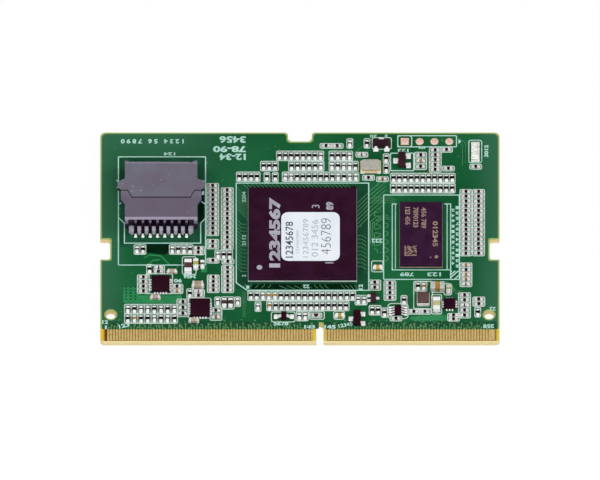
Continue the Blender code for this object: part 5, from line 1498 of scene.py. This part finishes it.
def build_leaded(node, body_size, stand_off, lead, sides, turn=0.0, finish_name="chip"):
    """A moulded chip and its leads in its CAD node's box.

    lead is its width, thickness, foot length, and how far its solder spreads. A chip that stands
    off the board, in a socket, has no solder.
    """
    low, high = node_box(node)
    size = high - low
    span = size.x if abs(math.sin(turn)) < 0.5 else size.y
    place = seat((low + high) / 2, turn)
    width, depth, height = body_size
    body = moulded_body(width, depth, high.z - height, high.z)
    add_piece(node + "_body", stamped(body, [place]), FINISH[finish_name], replaces=[node])
    leads = bmesh.new()
    solder = bmesh.new()
    lead_width, thickness, foot, spread = lead
    shoulder = width / 2 + thickness * 0.7
    waist = high.z - height / 2
    path = lead_path(width / 2 - 0.1, shoulder, span / 2 - foot, span / 2, waist, thickness)
    path = [(x, z + stand_off if index > 2 else z) for index, (x, z) in enumerate(path)]
    for side, places in zip((-1, 1), sides):
        for y in places:
            add_lead(leads, path, lead_width, thickness, side, y)
            add_solder_foot(solder, side * (span / 2 - foot), y, lead_width, foot, side, spread)
    bmesh.ops.recalc_face_normals(leads, faces=leads.faces)
    add_piece(node + "_leads", stamped(leads, [place]), FINISH["tin"])
    if stand_off:
        solder.free()
    else:
        add_piece(node + "_solder", stamped(solder, [place]), FINISH["solder"])


def build_leaded_chips():
    """The socketed memory, three transistors, a small switch, the translator and the diode."""
    places = [(index - 3.5) * 1.27 for index in range(8)]
    lead = (0.42, 0.25, 0.75, 0.0)
    build_leaded("flash_chip", (7.5, 10.2, 1.75), 0.9, lead, (places, places), QUARTER)
    transistor = (1.3, 2.9, 1.0)
    three = ([0], [-0.95, 0.95])
    build_leaded("transistor_1", transistor, 0.0, (0.42, 0.12, 0.4, 0.26), three, -QUARTER)
    build_leaded("transistor_2", transistor, 0.0, (0.42, 0.12, 0.4, 0.34), three)
    build_leaded("transistor_3", transistor, 0.0, (0.42, 0.12, 0.4, 0.26), three, 0.0, "controller")
    build_leaded("small_switch", (0.95, 2.0, 0.7), 0.0, (0.22, 0.12, 0.35, 0.16), ([-0.5, 0.5], [0]))
    places = [(index - 1.5) * 0.5 for index in range(4)]
    lead = (0.22, 0.12, 0.35, 0.07)
    build_leaded("translator_chip", (1.2, 1.85, 0.75), 0.0, lead, (places, places), 0.0, "controller")
    lead = (0.6, 0.12, 0.45, 0.16)
    build_leaded("diode", (0.96, 1.5, 0.9), 0.0, lead, ([0], [0]), 0.0, "controller")


def build_leadless(node, side, terminals):
    """A square package with short soldered terminals along its four sides."""
    low, high = node_box(node)
    middle = (low + high) / 2
    half = side / 2
    bm = bmesh.new()
    start, end = (middle.x - half, middle.y - half, 0.02), (middle.x + half, middle.y + half, high.z)
    add_block(bm, start, end, 0.05, 2)
    add_piece(node + "_body", bm, FINISH["controller"], replaces=[node])
    row = bmesh.new()
    for index in range(terminals):
        place = (index - (terminals - 1) / 2) * LEADLESS_PITCH
        add_block(row, (place - 0.15, half - 0.02, 0.0), (place + 0.15, half + 0.36, 0.26), 0.07, 2)
    ends = stamped(row, [seat(middle, turn * QUARTER) for turn in range(4)])
    add_piece(node + "_terminals", ends, FINISH["solder"])


def build_crystal():
    """The crystal: ceramic base on plated feet, a gilt seal ring and a steel lid with cut corners."""
    low, high = node_box("crystal_base")
    bm = bmesh.new()
    add_plate(bm, [rectangle(low.x, low.y, high.x, high.y, CRYSTAL_CORNER, 5)], 0.02, high.z)
    add_piece("crystal_foot", bm, FINISH["ceramic"], replaces=["crystal_base"])
    bm = bmesh.new()
    for x in (low.x, high.x - CRYSTAL_FOOT):
        for y in (low.y - 0.12, high.y + 0.12 - CRYSTAL_FOOT):
            add_block(bm, (x, y, 0.0), (x + CRYSTAL_FOOT, y + CRYSTAL_FOOT, 0.2), 0.08, 2)
    add_piece("crystal_solder", bm, FINISH["solder"])
    low, high = node_box("crystal_lid")
    bm = bmesh.new()
    rim = 0.06
    ring = rectangle(low.x - rim, low.y - rim, high.x + rim, high.y + rim, CRYSTAL_CORNER + rim, 5)
    add_plate(bm, [ring], low.z, low.z + 0.14)
    add_piece("crystal_seal_ring", bm, FINISH["gilt"])
    bm = bmesh.new()
    lid = rectangle(low.x, low.y, high.x, high.y, CRYSTAL_CORNER, 5)
    add_plate(bm, [lid], low.z + 0.12, high.z, 0.1)
    add_piece("crystal_cover", bm, FINISH["steel"], replaces=["crystal_lid"])


def build_lamp():
    """The status lamp: plated ends under a cloudy lens block."""
    low, high = node_box("status_lamp")
    bm = bmesh.new()
    add_block(bm, (low.x + 0.02, low.y + 0.12, 0.02), (high.x - 0.02, high.y - 0.12, high.z), 0.1, 3)
    add_piece("lamp_lens", bm, FINISH["lens"], replaces=["status_lamp"])
    bm = bmesh.new()
    for near in (low.y, high.y - 0.5):
        add_block(bm, (low.x, near, 0.0), (high.x, near + 0.5, 0.36), 0.06, 2)
    add_piece("lamp_terminals", bm, FINISH["solder"])


def build_socket_solder():
    """A bead of solder at the toe of each of the socket's contacts."""
    bm = bmesh.new()
    for number in range(1, 17):
        low, high = node_box(f"socket_contact_{number:02d}")
        toe = low.y if number <= 8 else high.y
        add_mound(bm, (low.x + high.x) / 2, toe, 0.3, 0.24, 0.2, 14)
    add_piece("socket_solder", bm, FINISH["solder"])


def dress_nodes():
    """Finishes for the CAD nodes that stay: socket, its contacts, the two caps and the label."""
    finishes = {
        "socket_base": "base", "socket_front_cover": "cover", "socket_rear_cover": "cover",
        "processor_cap": "processor", "memory_cap": "memory", "processor_label": "paper",
    }
    for name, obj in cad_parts.items():
        finish_name = "contact" if name.startswith("socket_contact") else finishes.get(name)
        if finish_name is None:
            continue
        obj.data.materials.clear()
        obj.data.materials.append(FINISH[finish_name])


# Stage

def build_floor():
    """A plain white floor: white to the camera, softly shadowed, and clear from below."""
    material, tree, shader = new_material(
        "studio_floor", Base_Color=colour(255, 255, 255), Roughness=0.9, Specular_IOR_Level=0.0
    )
    white = add_node(tree, "ShaderNodeEmission", {"Color": (1.0, 1.0, 1.0, 1.0), "Strength": 1.0})
    ray = add_node(tree, "ShaderNodeLightPath").outputs
    seen = maths(tree, "ADD", ray["Is Camera Ray"], ray["Is Glossy Ray"])
    seen = maths(tree, "ADD", seen, ray["Is Transmission Ray"])
    share = maths(tree, "MULTIPLY", maths(tree, "MINIMUM", seen, 1.0), 0.92)
    above = add_node(tree, "ShaderNodeMixShader", {0: share, 1: shader.outputs[0], 2: white.outputs[0]})
    clear = add_node(tree, "ShaderNodeBsdfTransparent")
    below = add_node(tree, "ShaderNodeNewGeometry").outputs["Backfacing"]
    blend = add_node(tree, "ShaderNodeMixShader", {0: below, 1: above.outputs[0], 2: clear.outputs[0]})
    tree.links.new(blend.outputs[0], tree.nodes["Material Output"].inputs["Surface"])
    corners = [(x * FLOOR_REACH, y * FLOOR_REACH, FLOOR_HEIGHT * MM)
               for x, y in ((-1, -1), (1, -1), (1, 1), (-1, 1))]
    mesh = bpy.data.meshes.new("studio_floor")
    mesh.from_pydata(corners, [], [(0, 1, 2, 3)])
    mesh.materials.append(material)
    floor = bpy.data.objects.new("studio_floor", mesh)
    bpy.context.scene.collection.objects.link(floor)


def add_softbox(name, place, size, strength):
    """A square soft light that faces the board."""
    light = bpy.data.lights.new(name, "AREA")
    light.shape = "SQUARE"
    light.size = size
    light.energy = strength
    lamp = bpy.data.objects.new(name, light)
    lamp.location = place
    lamp.rotation_euler = (-Vector(place)).to_track_quat("-Z", "Y").to_euler()
    bpy.context.scene.collection.objects.link(lamp)


def build_lights():
    """An even studio: a broad light in front, one from each side, and a dim grey room."""
    add_softbox("front_softbox", (0.0, -0.40, 0.45), 0.4, 1.9)
    add_softbox("left_softbox", (-0.50, 0.05, 0.42), 0.3, 1.4)
    add_softbox("right_softbox", (0.50, 0.0, 0.42), 0.3, 1.4)
    world = bpy.data.worlds.new("studio_room")
    world.use_nodes = True
    background = world.node_tree.nodes["Background"]
    background.inputs["Color"].default_value = (0.5, 0.5, 0.5, 1.0)
    background.inputs["Strength"].default_value = 0.52
    bpy.context.scene.world = world


def build_camera():
    """The photograph's view: a long lens, taken as parallel, looking down at the face of the board."""
    elevation = math.radians(VIEW_ELEVATION)
    away = Vector((0.0, -math.cos(elevation), math.sin(elevation)))
    data = bpy.data.cameras.new("camera")
    data.type = "ORTHO"
    data.ortho_scale = VIEW_WIDTH * MM
    camera = bpy.data.objects.new("camera", data)
    camera.location = Vector(VIEW_TARGET) * MM + 0.5 * away
    camera.rotation_euler = (QUARTER - elevation, 0.0, 0.0)
    bpy.context.scene.collection.objects.link(camera)
    bpy.context.scene.camera = camera


FINE_SURFACE = fine_surface_group()
BRIGHT_METAL = bright_metal_group()
GRAIN = grain_group()
GLASS_CLOTH = glass_cloth_group()
FINISH = make_materials()

build_laminate()
build_masks()
build_edge_contacts()
build_contact_tails()
build_header_pads()
build_tracks()
build_copper_areas()
build_cell_print()
build_board_print()
build_small_chips()
for number, looks in enumerate(CAPACITORS, 1):
    build_two_terminal(f"capacitor_{number:02d}", *looks)
build_two_terminal("ferrite_bead", "ferrite", 0.29, "solder")
build_inductor()
build_ball_grid("processor_substrate", 18, 18, 1.0, 0.3, "substrate")
build_ball_grid("memory_substrate", 9, 16, 0.8, 0.18, "memory_base")
build_package_print()
build_leaded_chips()
build_leadless("power_controller_1", 3.1, 5)
build_leadless("power_controller_2", 3.4, 5)
build_leadless("load_switch", 2.0, 3)
build_crystal()
build_lamp()
build_socket_solder()
dress_nodes()
build_floor()
build_lights()
build_camera()
bpy.context.scene.view_settings.view_transform = "Standard"
